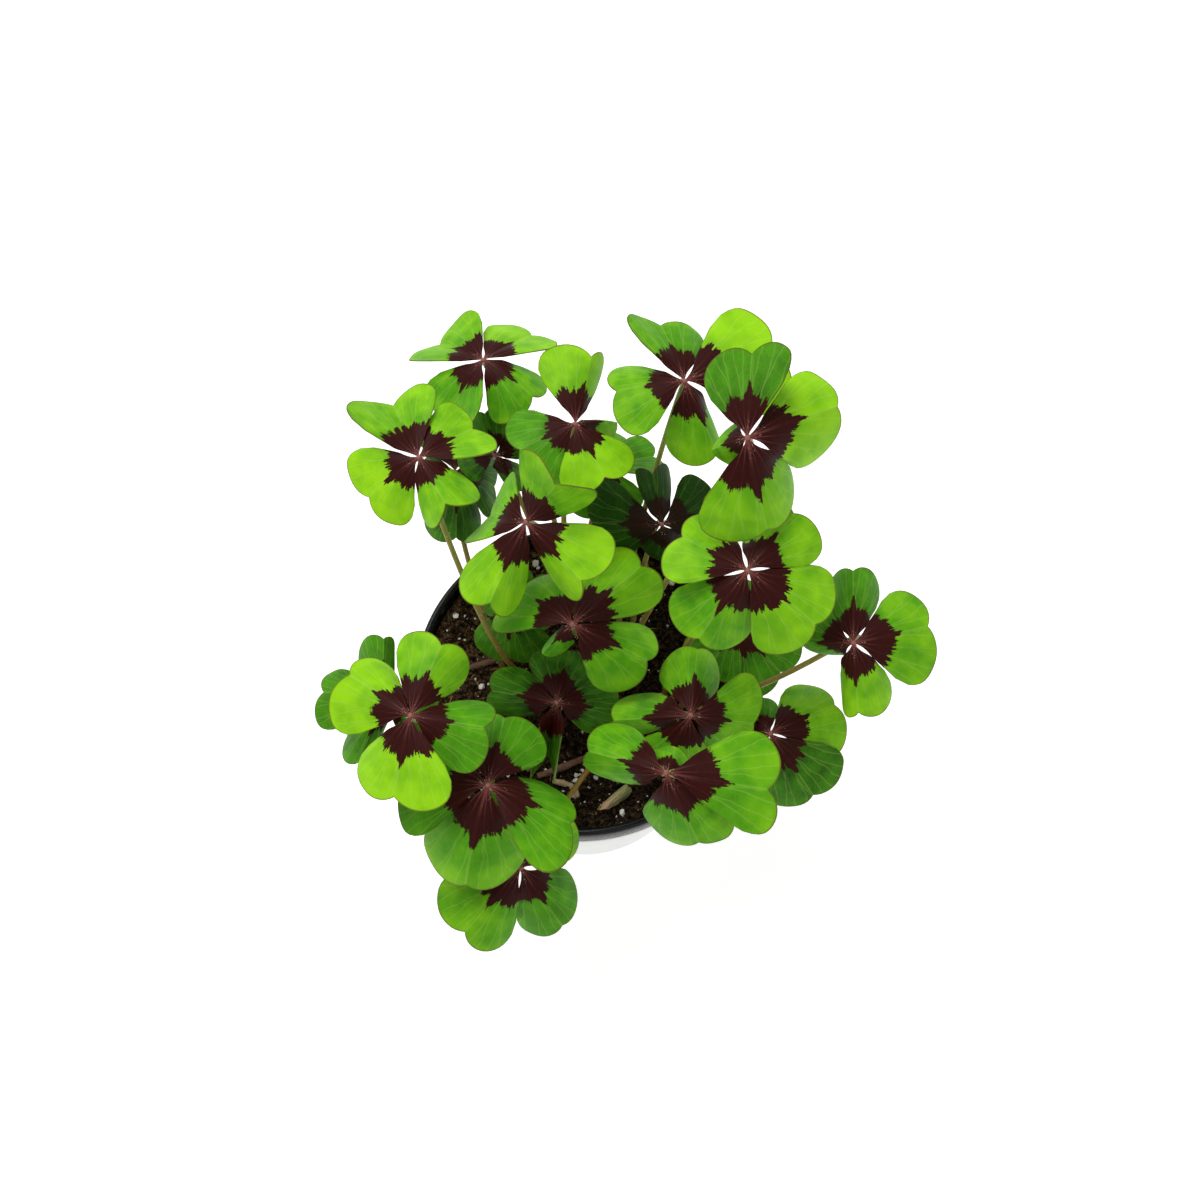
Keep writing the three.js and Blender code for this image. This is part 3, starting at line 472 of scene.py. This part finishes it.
# Living stalk: watery and ribbed lengthwise, red-brown low down and greener toward the leaf
stalkFinish = {"Roughness": 0.45, "IOR": 1.4, "Subsurface Weight": 0.2, "Subsurface Scale": 0.0015}
stalkSkin, stalkTree, stalkShader = newMaterial("living_stalk", stalkFinish)
stalkPlace = addNode(stalkTree, "TexCoord", out=3)
height = addNode(stalkTree, "SeparateXYZ", links={0: stalkPlace}, out=2)
climb = addNode(stalkTree, "MapRange", {}, {0: height, 1: 0.08, 2: 0.17})
streak = addNode(stalkTree, "Mapping", {}, {"Vector": stalkPlace, "Scale": (1, 1, 0.08)})
streaks = addNode(stalkTree, "TexNoise", links={"Vector": streak, "Scale": 900.0, "Detail": 3.0})
mixUp = addNode(stalkTree, "Math", timesPlus, {0: streaks, 1: 0.7, 2: climb})
mixUp = addNode(stalkTree, "Math", plus, {0: mixUp, 1: -0.35})
stalkColour = {0: mixUp, 6: linear("#8c6a30"), 7: linear("#9aa046")}
stalkColour = addNode(stalkTree, "Mix", twoColours, stalkColour, 2)
stalkTree.links.new(stalkColour, stalkShader.inputs["Base Color"])

# Hairs on stalks and round the hubs: fine and pale, drawn a tenth of a millimetre thick so that they show
hairForm = {
    "radius": 0.065, "length": 1.0, "perStalk": 190, "perHub": 36, "hubReach": 0.17, "hubSpread": 0.05,
    "stray": 0.35, "shares": (0.6, 1.2),
}
hairFinish = {"Roughness": 0.6, "IOR": 1.45, "Subsurface Weight": 0.2}
hairSkin = mottledMaterial("plant_hair_dry", hairFinish, 400.0, "#c4b084", "#f0e6d2")[0]
bpy.ops.object.select_all(action="DESELECT")
bpy.ops.mesh.primitive_cone_add(
    vertices=3, radius1=hairForm["radius"] * mm, radius2=0, depth=hairForm["length"] * mm,
    location=(0, 0, hairForm["length"] / 2 * mm))
oneHair = placed(bpy.context.object)
oneHair.data.materials.append(hairSkin)


def hairAt(place, direction):
    hair = copyOf(oneHair, "hair")
    hair.location = place * mm
    stray = hairForm["stray"]
    strayed = direction.normalized() + Vector([random.uniform(-stray, stray) for axis in range(3)])
    hair.rotation_euler = strayed.to_track_quat("Z", "Y").to_euler()
    hair.scale = [random.uniform(*hairForm["shares"])] * 3
    return hair


# One flat leaflet is cut as a grid and copied for all leaves, each copy bent to its own row
bpy.ops.object.select_all(action="DESELECT")
bpy.ops.mesh.primitive_grid_add(
    x_subdivisions=leafForm["cutAcross"], y_subdivisions=leafForm["cutAlong"], size=2)
flatLeaflet = bpy.context.object
flatLeaflet.data.uv_layers[0].name = "leaflet"
flatLeaflet.data.materials.append(leafTop)
flatLeaflet.data.materials.append(leafUnder)


def bentLeaflet(leaf, k, toneAndShade, ruffle):
    piece = copyOf(flatLeaflet, "leaflet")
    mesh = piece.data
    axes = leafAxes(leaf)
    turnBefore, turn, turnAfter = (leaf["leaflets"][n % 4][4] for n in (k - 1, k, k + 1))
    leftSpread, rightSpread = halfAngle(turn, turnAfter), halfAngle(turnBefore, turn)
    seed = random.uniform(0, 40)
    phase = random.uniform(0, 6.28)
    flat, rims = [], []
    for vertex in mesh.vertices:
        t = -vertex.co.x
        rho = leafForm["baseShare"] + (1 - leafForm["baseShare"]) * (vertex.co.y + 1) / 2
        spread = leftSpread if t > 0 else rightSpread
        along, across = flatPoint(rho, t, spread)
        point, up = bladePoint(axes, leaf, k, along, across)
        wave = math.sin(6.5 * t + phase) + 0.6 * math.sin(12 * t - 2.2 * phase + 4 * rho)
        cup = leafForm["cup"] * (1 - (2 * abs(t) - 1) ** 2) * math.sin(math.pi * min(1, rho))
        # every second leaflet lies a little higher, so that neighbours don't touch
        lift = leafForm["lift"] * (k % 2) * smooth(rho / 0.5)
        point += up * (ruffle * wave * rho ** 3 * abs(t) + cup + lift)
        flat.append((across, along))
        rims.append(min((1 - rho) * outlineRadius(abs(t)), (1 - abs(t)) * rho * math.radians(spread)))
        vertex.co = point * mm
    for loop in mesh.loops:
        mesh.uv_layers["leaflet"].data[loop.index].uv = flat[loop.vertex_index]
    for name, values in (("rim", rims), ("toneAndShade", [toneAndShade] * len(rims)), ("seed", [seed] * len(rims))):
        mesh.attributes.new(name, "FLOAT", "POINT").data.foreach_set("value", values)
    return piece


def thickened(piece, thickness):
    onlySelect(piece)
    solid = piece.modifiers.new("tissue", "SOLIDIFY")
    solid.thickness = thickness * mm
    solid.offset = -1
    solid.material_offset = 1
    bpy.ops.object.modifier_apply(modifier=solid.name)
    return piece


def makeBlade(number, leaf):
    # painted light and shade: each leaflet's offset darkens halves turned from the light and lightens those
    # turned to it
    paintedLightAndShade = leaf.get("paintedLightAndShade", (0, 0, 0, 0))
    parts = [bentLeaflet(leaf, k, leaf["toneAndShade"] + paintedLightAndShade[k], leafForm["ruffle"]) for k in range(4)]
    blade = thickened(joined(parts, f"leaf_{number}"), leafForm["thickness"])
    axes = leafAxes(leaf)
    hub, normal = axes[:2]
    bpy.ops.object.select_all(action="DESELECT")
    bpy.ops.mesh.primitive_uv_sphere_add(
        segments=14, ring_count=8, radius=leafForm["knotRadius"] * mm,
        location=(hub - normal * leafForm["knotDrop"]) * mm)
    knot = bpy.context.object
    knot.data.materials.append(leafHub)
    hairs = []
    for n in range(hairForm["perHub"]):
        spread = random.uniform(-hairForm["hubSpread"], hairForm["hubSpread"])
        along = random.uniform(0.02, hairForm["hubReach"])
        point, up = bladePoint(axes, leaf, n % 4, along, spread)
        hairs.append(hairAt(point, up + 1.2 * (point - hub).normalized()))
    blade = placed(joined([blade, knot, *hairs], f"leaf_{number}"))
    finished(blade, f"leaf_{number}_blade", 50)


def tubeAlong(name, points, radii, depth, material):
    # points are (place, left handle, right handle) of a Bezier curve, swept by a round of that radius
    bpy.ops.object.select_all(action="DESELECT")
    bpy.ops.curve.primitive_bezier_curve_add()
    curve = bpy.context.object
    curve.name = name
    spline = curve.data.splines[0]
    spline.bezier_points.add(len(points) - 2)
    for knot, (place, before, after), radius in zip(spline.bezier_points, points, radii):
        knot.handle_left_type = knot.handle_right_type = "FREE"
        knot.co, knot.handle_left, knot.handle_right = (Vector(v) * mm for v in (place, before, after))
        knot.radius = radius
    curve.data.bevel_depth = depth * mm
    curve.data.bevel_resolution = 3
    curve.data.resolution_u = 14
    curve.data.use_fill_caps = True
    onlySelect(curve)
    bpy.ops.object.convert(target="MESH")
    tube = placed(bpy.context.object)
    tube.data.materials.clear()
    tube.data.materials.append(material)
    return tube


def stalkFoot(leaf):
    # stalks stand evenly round their crown, in the order of the directions that their leaves lie in
    x, y = crowns[leaf["crown"]]
    bearing = lambda one: math.atan2(one["at"][1] - y, one["at"][0] - x)
    own = sorted((one for one in leaves if one["crown"] == leaf["crown"]), key=bearing)
    turn = bearing(own[0]) + own.index(leaf) / len(own) * 2 * math.pi
    ring = stalkForm["ring"]
    return Vector((x + ring * math.cos(turn), y + ring * math.sin(turn), stalkForm["foot"]))


def makeStalk(number, leaf):
    foot = stalkFoot(leaf)
    hub, normal = leafAxes(leaf)[:2]
    ground = Vector((foot.x, foot.y, soilTop + moundHeight))
    tip = hub - normal * (leafForm["hubDepth"] + stalkForm["gap"])
    rise = tip.z - ground.z
    bow = leaf.get("bow", (0, 0, 0, 0))
    low = Vector((foot.x + bow[0], foot.y + bow[1], ground.z + stalkForm["lowBend"] * rise))
    high = tip - normal * (stalkForm["highBend"] * rise) + Vector((bow[2], bow[3], 0))
    end = hub - normal * stalkForm["intoKnot"]
    third = (ground - foot) / 3
    points = [
        (foot, foot, foot + third), (ground, ground - third, low),
        (tip, high, tip + (end - tip) / 3), (end, end, end),
    ]
    radii = (1, 1, stalkForm["tipShare"], 1.0)
    stalk = tubeAlong(f"stalk_{number}", points, radii, stalkForm["radius"], stalkSkin)
    bare = [face for face in stalk.data.polygons if face.center.z > (soilTop + stalkForm["hairsFrom"]) * mm]
    rooted = random.choices(bare, k=hairForm["perStalk"])
    hairs = [hairAt(face.center / mm, face.normal.copy()) for face in rooted]
    stalk = placed(joined([stalk, *hairs], f"stalk_{number}"))
    finished(stalk, f"leaf_{number}_stalk", 60)


for i, leaf in enumerate(leaves):
    makeBlade(f"{i + 1:02d}", leaf)
    makeStalk(f"{i + 1:02d}", leaf)
print("leaves and stalks are grown")

# Pots: each profile is (radius, height) from the middle of the foot, up outside and down inside
pots = {
    "steps": 128,
    "cover": (
        (44.2, 0), (44.8, 0.3), (45, 1), (59.5, 76.9), (59.4, 77.4), (58.9, 77.7), (57.6, 77.7),
        (57.1, 77.4), (57, 76.9), (42.8, 4.2), (42.2, 3.2), (41, 3),
    ),
    "grow": (
        (39.4, 3.3), (40, 3.9), (54.6, 75), (56.6, 77.6), (57.4, 78), (59, 78), (59.4, 78.2), (59.5, 78.6),
        (59.5, 81.6), (59.95, 82.2), (60, 82.6), (60, 86.6), (59.8, 87.4), (59.2, 87.9), (58.5, 88),
        (57.7, 87.8), (57.2, 87.3), (57, 86.6), (57, 79.2), (53.4, 75.4), (38.8, 5.2), (38.2, 4.8),
    ),
    "drainHoles": 6, "drainRadius": 3.5, "drainRing": 27, "drainDepth": 8,
}


def turnedPot(name, profile, material):
    # a disc is drawn out through the profile, ring by ring, and its last face is the floor inside
    bpy.ops.object.select_all(action="DESELECT")
    radius, level = profile[0]
    bpy.ops.mesh.primitive_circle_add(
        vertices=pots["steps"], radius=radius * mm, fill_type="NGON", location=(0, 0, level * mm))
    pot = placed(bpy.context.object)
    pot.name = name
    bpy.ops.object.mode_set(mode="EDIT")
    bpy.ops.mesh.select_mode(type="FACE")
    bpy.ops.mesh.select_all(action="SELECT")
    for nextRadius, nextLevel in profile[1:]:
        bpy.ops.mesh.extrude_region_move(TRANSFORM_OT_translate={"value": (0, 0, (nextLevel - level) * mm)})
        share = nextRadius / radius
        bpy.ops.transform.resize(value=(share, share, 1), center_override=(0, 0, nextLevel * mm))
        radius, level = nextRadius, nextLevel
    bpy.ops.mesh.select_all(action="SELECT")
    bpy.ops.mesh.normals_make_consistent(inside=False)
    bpy.ops.object.mode_set(mode="OBJECT")
    pot.data.materials.append(material)
    return pot


# White pot, injection moulded and polished: an even satin gloss with the faintest ripple
whiteFinish = {"Roughness": 0.32, "IOR": 1.49}
whitePlastic, whiteTree, whiteShader = mottledMaterial(
    "polypropylene_white_moulded", whiteFinish, 40.0, "#e4e5e3", "#ebebe9")
whitePlace = addNode(whiteTree, "TexCoord", out=3)
whiteRipple = addNode(whiteTree, "TexNoise", links={"Vector": whitePlace, "Scale": 120.0})
whiteBump = addNode(whiteTree, "Bump", links={"Height": whiteRipple, "Strength": 0.08, "Distance": 0.0002})
whiteTree.links.new(whiteBump, whiteShader.inputs["Normal"])
# Black nursery pot, thermoformed: greyish satin with fine scuffs and some dust of peat
blackFinish = {"IOR": 1.49, "Specular IOR Level": 0.25}
blackPlastic, blackTree, blackShader = newMaterial("polypropylene_black_thermoformed", blackFinish)
blackPlace = addNode(blackTree, "TexCoord", out=3)
scuff = addNode(blackTree, "TexNoise", links={"Vector": blackPlace, "Scale": 700.0, "Detail": 4.0})
dust = {"Vector": blackPlace, "Scale": 90.0, "Detail": 5.0, "Roughness": 0.7}
dust = addNode(blackTree, "TexNoise", links=dust)
dusty = addNode(blackTree, "MapRange", smoothStep, {0: dust, 1: 0.5, 2: 0.75, 3: 0.0, 4: 0.25})
blackColour = addNode(blackTree, "Mix", twoColours, {0: dusty, 6: linear("#0b0c0e"), 7: linear("#231e19")}, 2)
blackTree.links.new(blackColour, blackShader.inputs["Base Color"])
blackGloss = addNode(blackTree, "MapRange", {}, {0: scuff, 1: 0.3, 2: 0.7, 3: 0.2, 4: 0.34})
blackTree.links.new(blackGloss, blackShader.inputs["Roughness"])
blackBump = addNode(blackTree, "Bump", links={"Height": scuff, "Strength": 0.15, "Distance": 0.0002})
blackTree.links.new(blackBump, blackShader.inputs["Normal"])

coverPot = turnedPot("coverPot", pots["cover"], whitePlastic)
finished(coverPot, "cover_pot", 50)
growPot = turnedPot("growPot", pots["grow"], blackPlastic)
plugs = []
for i in range(pots["drainHoles"]):
    turn = i / pots["drainHoles"] * 2 * math.pi
    x, y, z = pots["drainRing"] * math.cos(turn), pots["drainRing"] * math.sin(turn), pots["drainDepth"] / 2
    bpy.ops.object.select_all(action="DESELECT")
    bpy.ops.mesh.primitive_cylinder_add(
        vertices=24, radius=pots["drainRadius"] * mm, depth=pots["drainDepth"] * mm,
        location=(x * mm, y * mm, z * mm))
    plugs.append(bpy.context.object)
plug = joined(plugs, "plug")
onlySelect(growPot)
drain = growPot.modifiers.new("drain", "BOOLEAN")
drain.object = plug
drain.solver = "EXACT"
bpy.ops.object.modifier_apply(modifier=drain.name)
bpy.data.objects.remove(plug)
finished(growPot, "grow_pot", 50)
print("pots are turned")

# Soil: a block with a crumbly top, then loose crumbs of peat and grains of perlite set into it
soilForm = {
    "edge": 56.5, "ledge": (52.95, 75.6), "ledgeTop": 79.4, "floorRadius": 38.2, "floor": 5.1, "steps": 150,
    "rings": 36, "crumb": 0.9, "rough": 1.0, "bankStart": 44, "bankHeight": 4.3, "leftBankRise": 3,
    "moundSpread": 90, "strewnTo": 56, "crumbs": 3600, "crumbSize": (0.4, 1.5), "grains": 330,
    "grainSize": (0.3, 0.75), "bigGrains": 90, "bigGrainSize": (0.8, 2.0), "fibres": 180,
    "fibreSize": (0.22, 0.4), "fibreStretch": 9,
}


def soilHeight(x, y):
    # low waves, a mound at each crown and a bank against the wall, highest on the left
    radius = math.hypot(x, y)
    edge, start = soilForm["edge"], soilForm["bankStart"]
    fade = 1 - smooth((radius - 0.8 * edge) / (0.2 * edge))
    waves = math.sin(0.47 * x + 1.3) * math.cos(0.53 * y - 0.4) + 0.6 * math.sin(1.1 * x - 0.9 * y + 2.1)
    spread = soilForm["moundSpread"]
    mounds = max(math.exp(-((x - cx) ** 2 + (y - cy) ** 2) / spread) for cx, cy in crowns.values())
    bankTop = soilForm["bankHeight"] + soilForm["leftBankRise"] * smooth(-x / edge)
    bank = bankTop * smooth((radius - start) / (edge - start))
    return soilTop - 1 + soilForm["crumb"] * waves * (0.3 + 0.7 * fade) + moundHeight * mounds + bank


# Peat: matte and open, brown on the left and near black toward the right and the front; 1 to 3 mm crumbs
peatFinish = {"Roughness": 0.95, "IOR": 1.4, "Specular IOR Level": 0.2}
peat, peatTree, peatShader = newMaterial("sphagnum_peat_milled", peatFinish)
peatPlace = addNode(peatTree, "TexCoord", out=3)
coarse = {"Vector": peatPlace, "Scale": 620.0, "Detail": 5.0, "Roughness": 0.75}
coarse = addNode(peatTree, "TexNoise", links=coarse)
fine = addNode(peatTree, "TexVoronoi", {}, {"Vector": peatPlace, "Scale": 900.0})
patches = addNode(peatTree, "TexNoise", links={"Vector": peatPlace, "Scale": 60.0, "Detail": 2.0})
# the peat turns darker toward the right and the front, in patches
toTheRight = {0: peatPlace, 1: (1, -0.8, 0)}
toTheRight = addNode(peatTree, "VectorMath", {"operation": "DOT_PRODUCT"}, toTheRight, 1)
darkening = addNode(peatTree, "MapRange", {}, {0: toTheRight, 1: -0.045, 2: 0.015, 3: 0.05, 4: 1.0})
darkening = addNode(peatTree, "Math", {**timesPlus, "use_clamp": True}, {0: patches, 1: 0.8, 2: darkening})
darkening = addNode(peatTree, "Math", {**minus, "use_clamp": True}, {0: darkening, 1: 0.35})
peatMix = addNode(peatTree, "MapRange", {}, {0: coarse, 1: 0.47, 2: 0.68})
palePeat = addNode(peatTree, "Mix", twoColours, {0: peatMix, 6: linear("#20150c"), 7: linear("#8c6c48")}, 2)
darkPeat = addNode(peatTree, "Mix", twoColours, {0: peatMix, 6: linear("#070504"), 7: linear("#302216")}, 2)
peatColour = addNode(peatTree, "Mix", twoColours, {0: darkening, 6: palePeat, 7: darkPeat}, 2)
speck = addNode(peatTree, "MapRange", smoothStep, {0: fine, 1: 0.05, 2: 0.16, 3: 0.5, 4: 0.0})
peatColour = addNode(peatTree, "Mix", twoColours, {0: speck, 6: peatColour, 7: linear("#7a5a3e")}, 2)
peatTree.links.new(peatColour, peatShader.inputs["Base Color"])
peatBump = addNode(peatTree, "Bump", links={"Height": coarse, "Strength": 0.9, "Distance": 0.0008})
peatTree.links.new(peatBump, peatShader.inputs["Normal"])
# Perlite: popped volcanic glass, white and pitted
perliteFinish = {"Roughness": 0.85, "IOR": 1.5}
perlite = mottledMaterial("perlite_expanded", perliteFinish, 1500.0, "#d8d4ca", "#fdfcf8", 3.0)[0]
# Plant fibre: dry, pale brown threads left in the peat
fibre = mottledMaterial("peat_fibre_dry", {"Roughness": 0.8, "IOR": 1.4}, 120.0, "#3f2a1a", "#b8925f", 3.0)[0]

bpy.ops.object.select_all(action="DESELECT")
ledgeRadius, ledgeFoot = soilForm["ledge"]
bpy.ops.mesh.primitive_cone_add(
    vertices=soilForm["steps"], radius1=soilForm["floorRadius"] * mm, radius2=ledgeRadius * mm,
    depth=(ledgeFoot - soilForm["floor"]) * mm, location=(0, 0, (ledgeFoot + soilForm["floor"]) / 2 * mm))
soil = placed(bpy.context.object)
bpy.ops.object.mode_set(mode="EDIT")
bpy.ops.mesh.select_mode(type="FACE")
bpy.ops.mesh.select_all(action="DESELECT")
bpy.ops.object.mode_set(mode="OBJECT")
for face in soil.data.polygons:
    face.select = face.normal.z > 0.9
bpy.ops.object.mode_set(mode="EDIT")
# out over the pot's ledge, a step up the wall, then in ring by ring to the middle
rise = (soilForm["ledgeTop"] - ledgeFoot) * mm
bpy.ops.mesh.extrude_region_move(TRANSFORM_OT_translate={"value": (0, 0, rise)})
share = soilForm["edge"] / ledgeRadius
bpy.ops.transform.resize(value=(share, share, 1), center_override=(0, 0, soilForm["ledgeTop"] * mm))
bpy.ops.mesh.extrude_region_move(TRANSFORM_OT_translate={"value": (0, 0, mm)})
for i in range(soilForm["rings"]):
    bpy.ops.mesh.inset(thickness=soilForm["edge"] / (soilForm["rings"] + 0.6) * mm, use_even_offset=False)
bpy.ops.mesh.poke()
bpy.ops.object.mode_set(mode="OBJECT")
for vertex in soil.data.vertices:
    if vertex.co.z > (soilForm["ledgeTop"] + 0.5) * mm:
        x, y = vertex.co.x / mm, vertex.co.y / mm
        crumble = noise.noise(Vector((x, y, 0)) * 0.42) + 0.6 * noise.noise(Vector((x, y, 9)) * 1.1)
        least = soilForm["ledgeTop"] + 0.3 if math.hypot(x, y) > soilForm["edge"] - 0.5 else 0
        vertex.co.z = max(least, soilHeight(x, y) + soilForm["rough"] * crumble) * mm
soil.data.materials.append(peat)


def scattered(count, sizes, material, sink, stretch=1):
    # a broken lump is modelled three times over and strewn, each copy turned and squashed its own way;
    # stretch draws it out into a thread that lies flat
    lumps = []
    for k in range(3):
        bpy.ops.object.select_all(action="DESELECT")
        bpy.ops.mesh.primitive_ico_sphere_add(subdivisions=1, radius=mm)
        lump = bpy.context.object
        for vertex in lump.data.vertices:
            vertex.co *= random.uniform(0.6, 1.25)
        lump.data.materials.append(material)
        lumps.append(lump)
    reach = soilForm["strewnTo"]
    strewn = []
    while len(strewn) < count:
        x, y = random.uniform(-reach, reach), random.uniform(-reach, reach)
        if math.hypot(x, y) > reach - sizes[1] * stretch:
            continue
        piece = copyOf(random.choice(lumps), "lump")
        size = random.uniform(*sizes) * random.uniform(0.6, 1)
        piece.scale = [size * random.uniform(0.7, 1.3) * longer for longer in (stretch, 1, 1)]
        piece.rotation_euler = [random.uniform(-3.14, 3.14) / steady for steady in (1, stretch, 1)]
        piece.location = (x * mm, y * mm, (soilHeight(x, y) + size * sink) * mm)
        strewn.append(piece)
    for lump in lumps:
        bpy.data.objects.remove(lump)
    return placed(joined(strewn, "strewn"))


crumbs = scattered(soilForm["crumbs"], soilForm["crumbSize"], peat, 0.35)
grains = scattered(soilForm["grains"], soilForm["grainSize"], perlite, 0.6)
bigGrains = scattered(soilForm["bigGrains"], soilForm["bigGrainSize"], perlite, 0.45)
threads = scattered(soilForm["fibres"], soilForm["fibreSize"], fibre, 1.5, soilForm["fibreStretch"])
soil = joined([soil, crumbs, grains, bigGrains, threads], "soilTop")
finished(soil, "soil", 30)
print("soil is laid, with crumbs and perlite")

# Dead stalks on the soil: brown and shrunk, wrinkled lengthwise
stalkWrinkles = (0.6, 0.0004)
deadStalk = mottledMaterial(
    "dead_stalk_rotten", {"Roughness": 0.8, "IOR": 1.4}, 600.0, "#40291e", "#8a6650", 4.0, stalkWrinkles)[0]
# A dry stalk: papery and pale as straw
dryStalk = mottledMaterial(
    "dry_stalk_papery", {"Roughness": 0.75, "IOR": 1.4}, 600.0, "#8f7350", "#d6c19a", 4.0, stalkWrinkles)[0]
litter = {
    "dead_stem_1": {
        "points": ((-15.5, -36, 78.3), (-6, -32.5, 78.8), (2.5, -29, 79.3)),
        "radius": 1.3, "skin": deadStalk, "slot": "dead_stem",
    },
    "dead_stem_2": {
        "points": ((-41, 5.5, 78.6), (-36, 7, 79.1), (-31.5, 8, 79.6)),
        "radius": 1.2, "skin": deadStalk, "slot": "dead_stem",
    },
    "dry_stem": {
        "points": ((-9.9, -37.6, 77.75), (-3.5, -39.5, 77.75), (-1, -43.5, 77.75)),
        "radius": 1.2, "skin": dryStalk, "slot": "dry_straw",
    },
}
for name, form in litter.items():
    places = [Vector(point) for point in form["points"]]
    points = []
    for i, place in enumerate(places):
        before, after = places[max(0, i - 1)], places[min(len(places) - 1, i + 1)]
        lean = (after - before) / 6
        points.append((place, place - lean, place + lean))
    stem = tubeAlong(f"{name}_finer", points, (0.8, 1.05, 0.7), form["radius"], form["skin"])
    for vertex in stem.data.vertices:
        vertex.co += 0.25 * mm * noise.noise_vector(vertex.co / mm * 0.6)
    finished(stem, name, 60)

# Withered leaflet: tan and papery where it has dried, with a trace of green. Only its first row is used
# as a leaflet; the others set how wide that one spreads.
fallen = {
    "at": (6.5, -50.5, 85.6), "length": 16, "lean": 4, "toward": 0, "heading": 42,
    "leaflets": ((8, 74, 78, 1, 0), (8, 74, 78, 1, -27), (8, 74, 78, 1, 0), (8, 74, 78, 1, 27)),
    "ruffle": 0.8, "thickness": 0.5,
}
witheredFinish = {"Roughness": 0.75, "IOR": 1.4}
witheredSkin, witheredTree, witheredShader = newMaterial("withered_leaf_papery", witheredFinish)
witheredPlace = addNode(witheredTree, "UVMap", {"uv_map": "leaflet"})
stretchedPlace = addNode(witheredTree, "Mapping", {}, {"Vector": witheredPlace, "Scale": (14, 2.2, 1)})
stripes = addNode(witheredTree, "TexNoise", links={"Vector": stretchedPlace, "Scale": 1.6, "Detail": 4.0})
reach = addNode(witheredTree, "SeparateXYZ", links={0: witheredPlace}, out=1)
greening = addNode(witheredTree, "MapRange", {}, {0: reach, 1: 0.25, 2: 0.7})
dryGreen = {0: greening, 6: linear("#d6b08c"), 7: linear("#bcc484")}
dryGreen = addNode(witheredTree, "Mix", twoColours, dryGreen, 2)
shadow = addNode(witheredTree, "MapRange", {}, {0: stripes, 1: 0.4, 2: 0.65, 3: 0.75, 4: 0.0})
dryGreen = addNode(witheredTree, "Mix", twoColours, {0: shadow, 6: dryGreen, 7: linear("#75603a")}, 2)
witheredTree.links.new(dryGreen, witheredShader.inputs["Base Color"])
withered = thickened(bentLeaflet(fallen, 0, 0.5, fallen["ruffle"]), fallen["thickness"])
withered.data.materials[0] = witheredSkin
withered.data.materials[1] = witheredSkin
withered.name = "droppedLeaflet"
finished(withered, "withered_leaf", 50)

# Young leaf: pale and downy, still folded shut; its rounds are (height, radius)
youngForm = {
    "at": (-18.9, -32.8, 0),
    "rounds": ((70, 0.8), (79, 0.8), (80.5, 1.6), (83, 2.0), (85.5, 1.1), (86.4, 0.25)),
}
youngFinish = {"Roughness": 0.7, "IOR": 1.4}
youngSkin = mottledMaterial("young_leaf_downy", youngFinish, 900.0, "#8fa06a", "#c9cfa6", 3.0)[0]
foot = Vector(youngForm["at"])
points = [[foot + Vector((0, 0, z + step)) for step in (0, -0.5, 0.5)] for z, radius in youngForm["rounds"]]
young = tubeAlong("youngLeaf", points, [radius for z, radius in youngForm["rounds"]], 1.0, youngSkin)
finished(young, "young_leaf", 60)

# Bulbs stay as they are, under the soil: brown scales
bulbFinish = {"Roughness": 0.7, "IOR": 1.4}
bulbSkin = mottledMaterial("bulb_scales_dry", bulbFinish, 300.0, "#7a5230", "#b98c5c", 4.0)[0]
for name in crowns:
    for slot in bpy.data.objects[f"bulb_{name}"].material_slots:
        slot.material = bulbSkin
print("litter, young leaf and bulbs are done")

bpy.data.objects.remove(flatLeaflet)
bpy.data.objects.remove(oneHair)
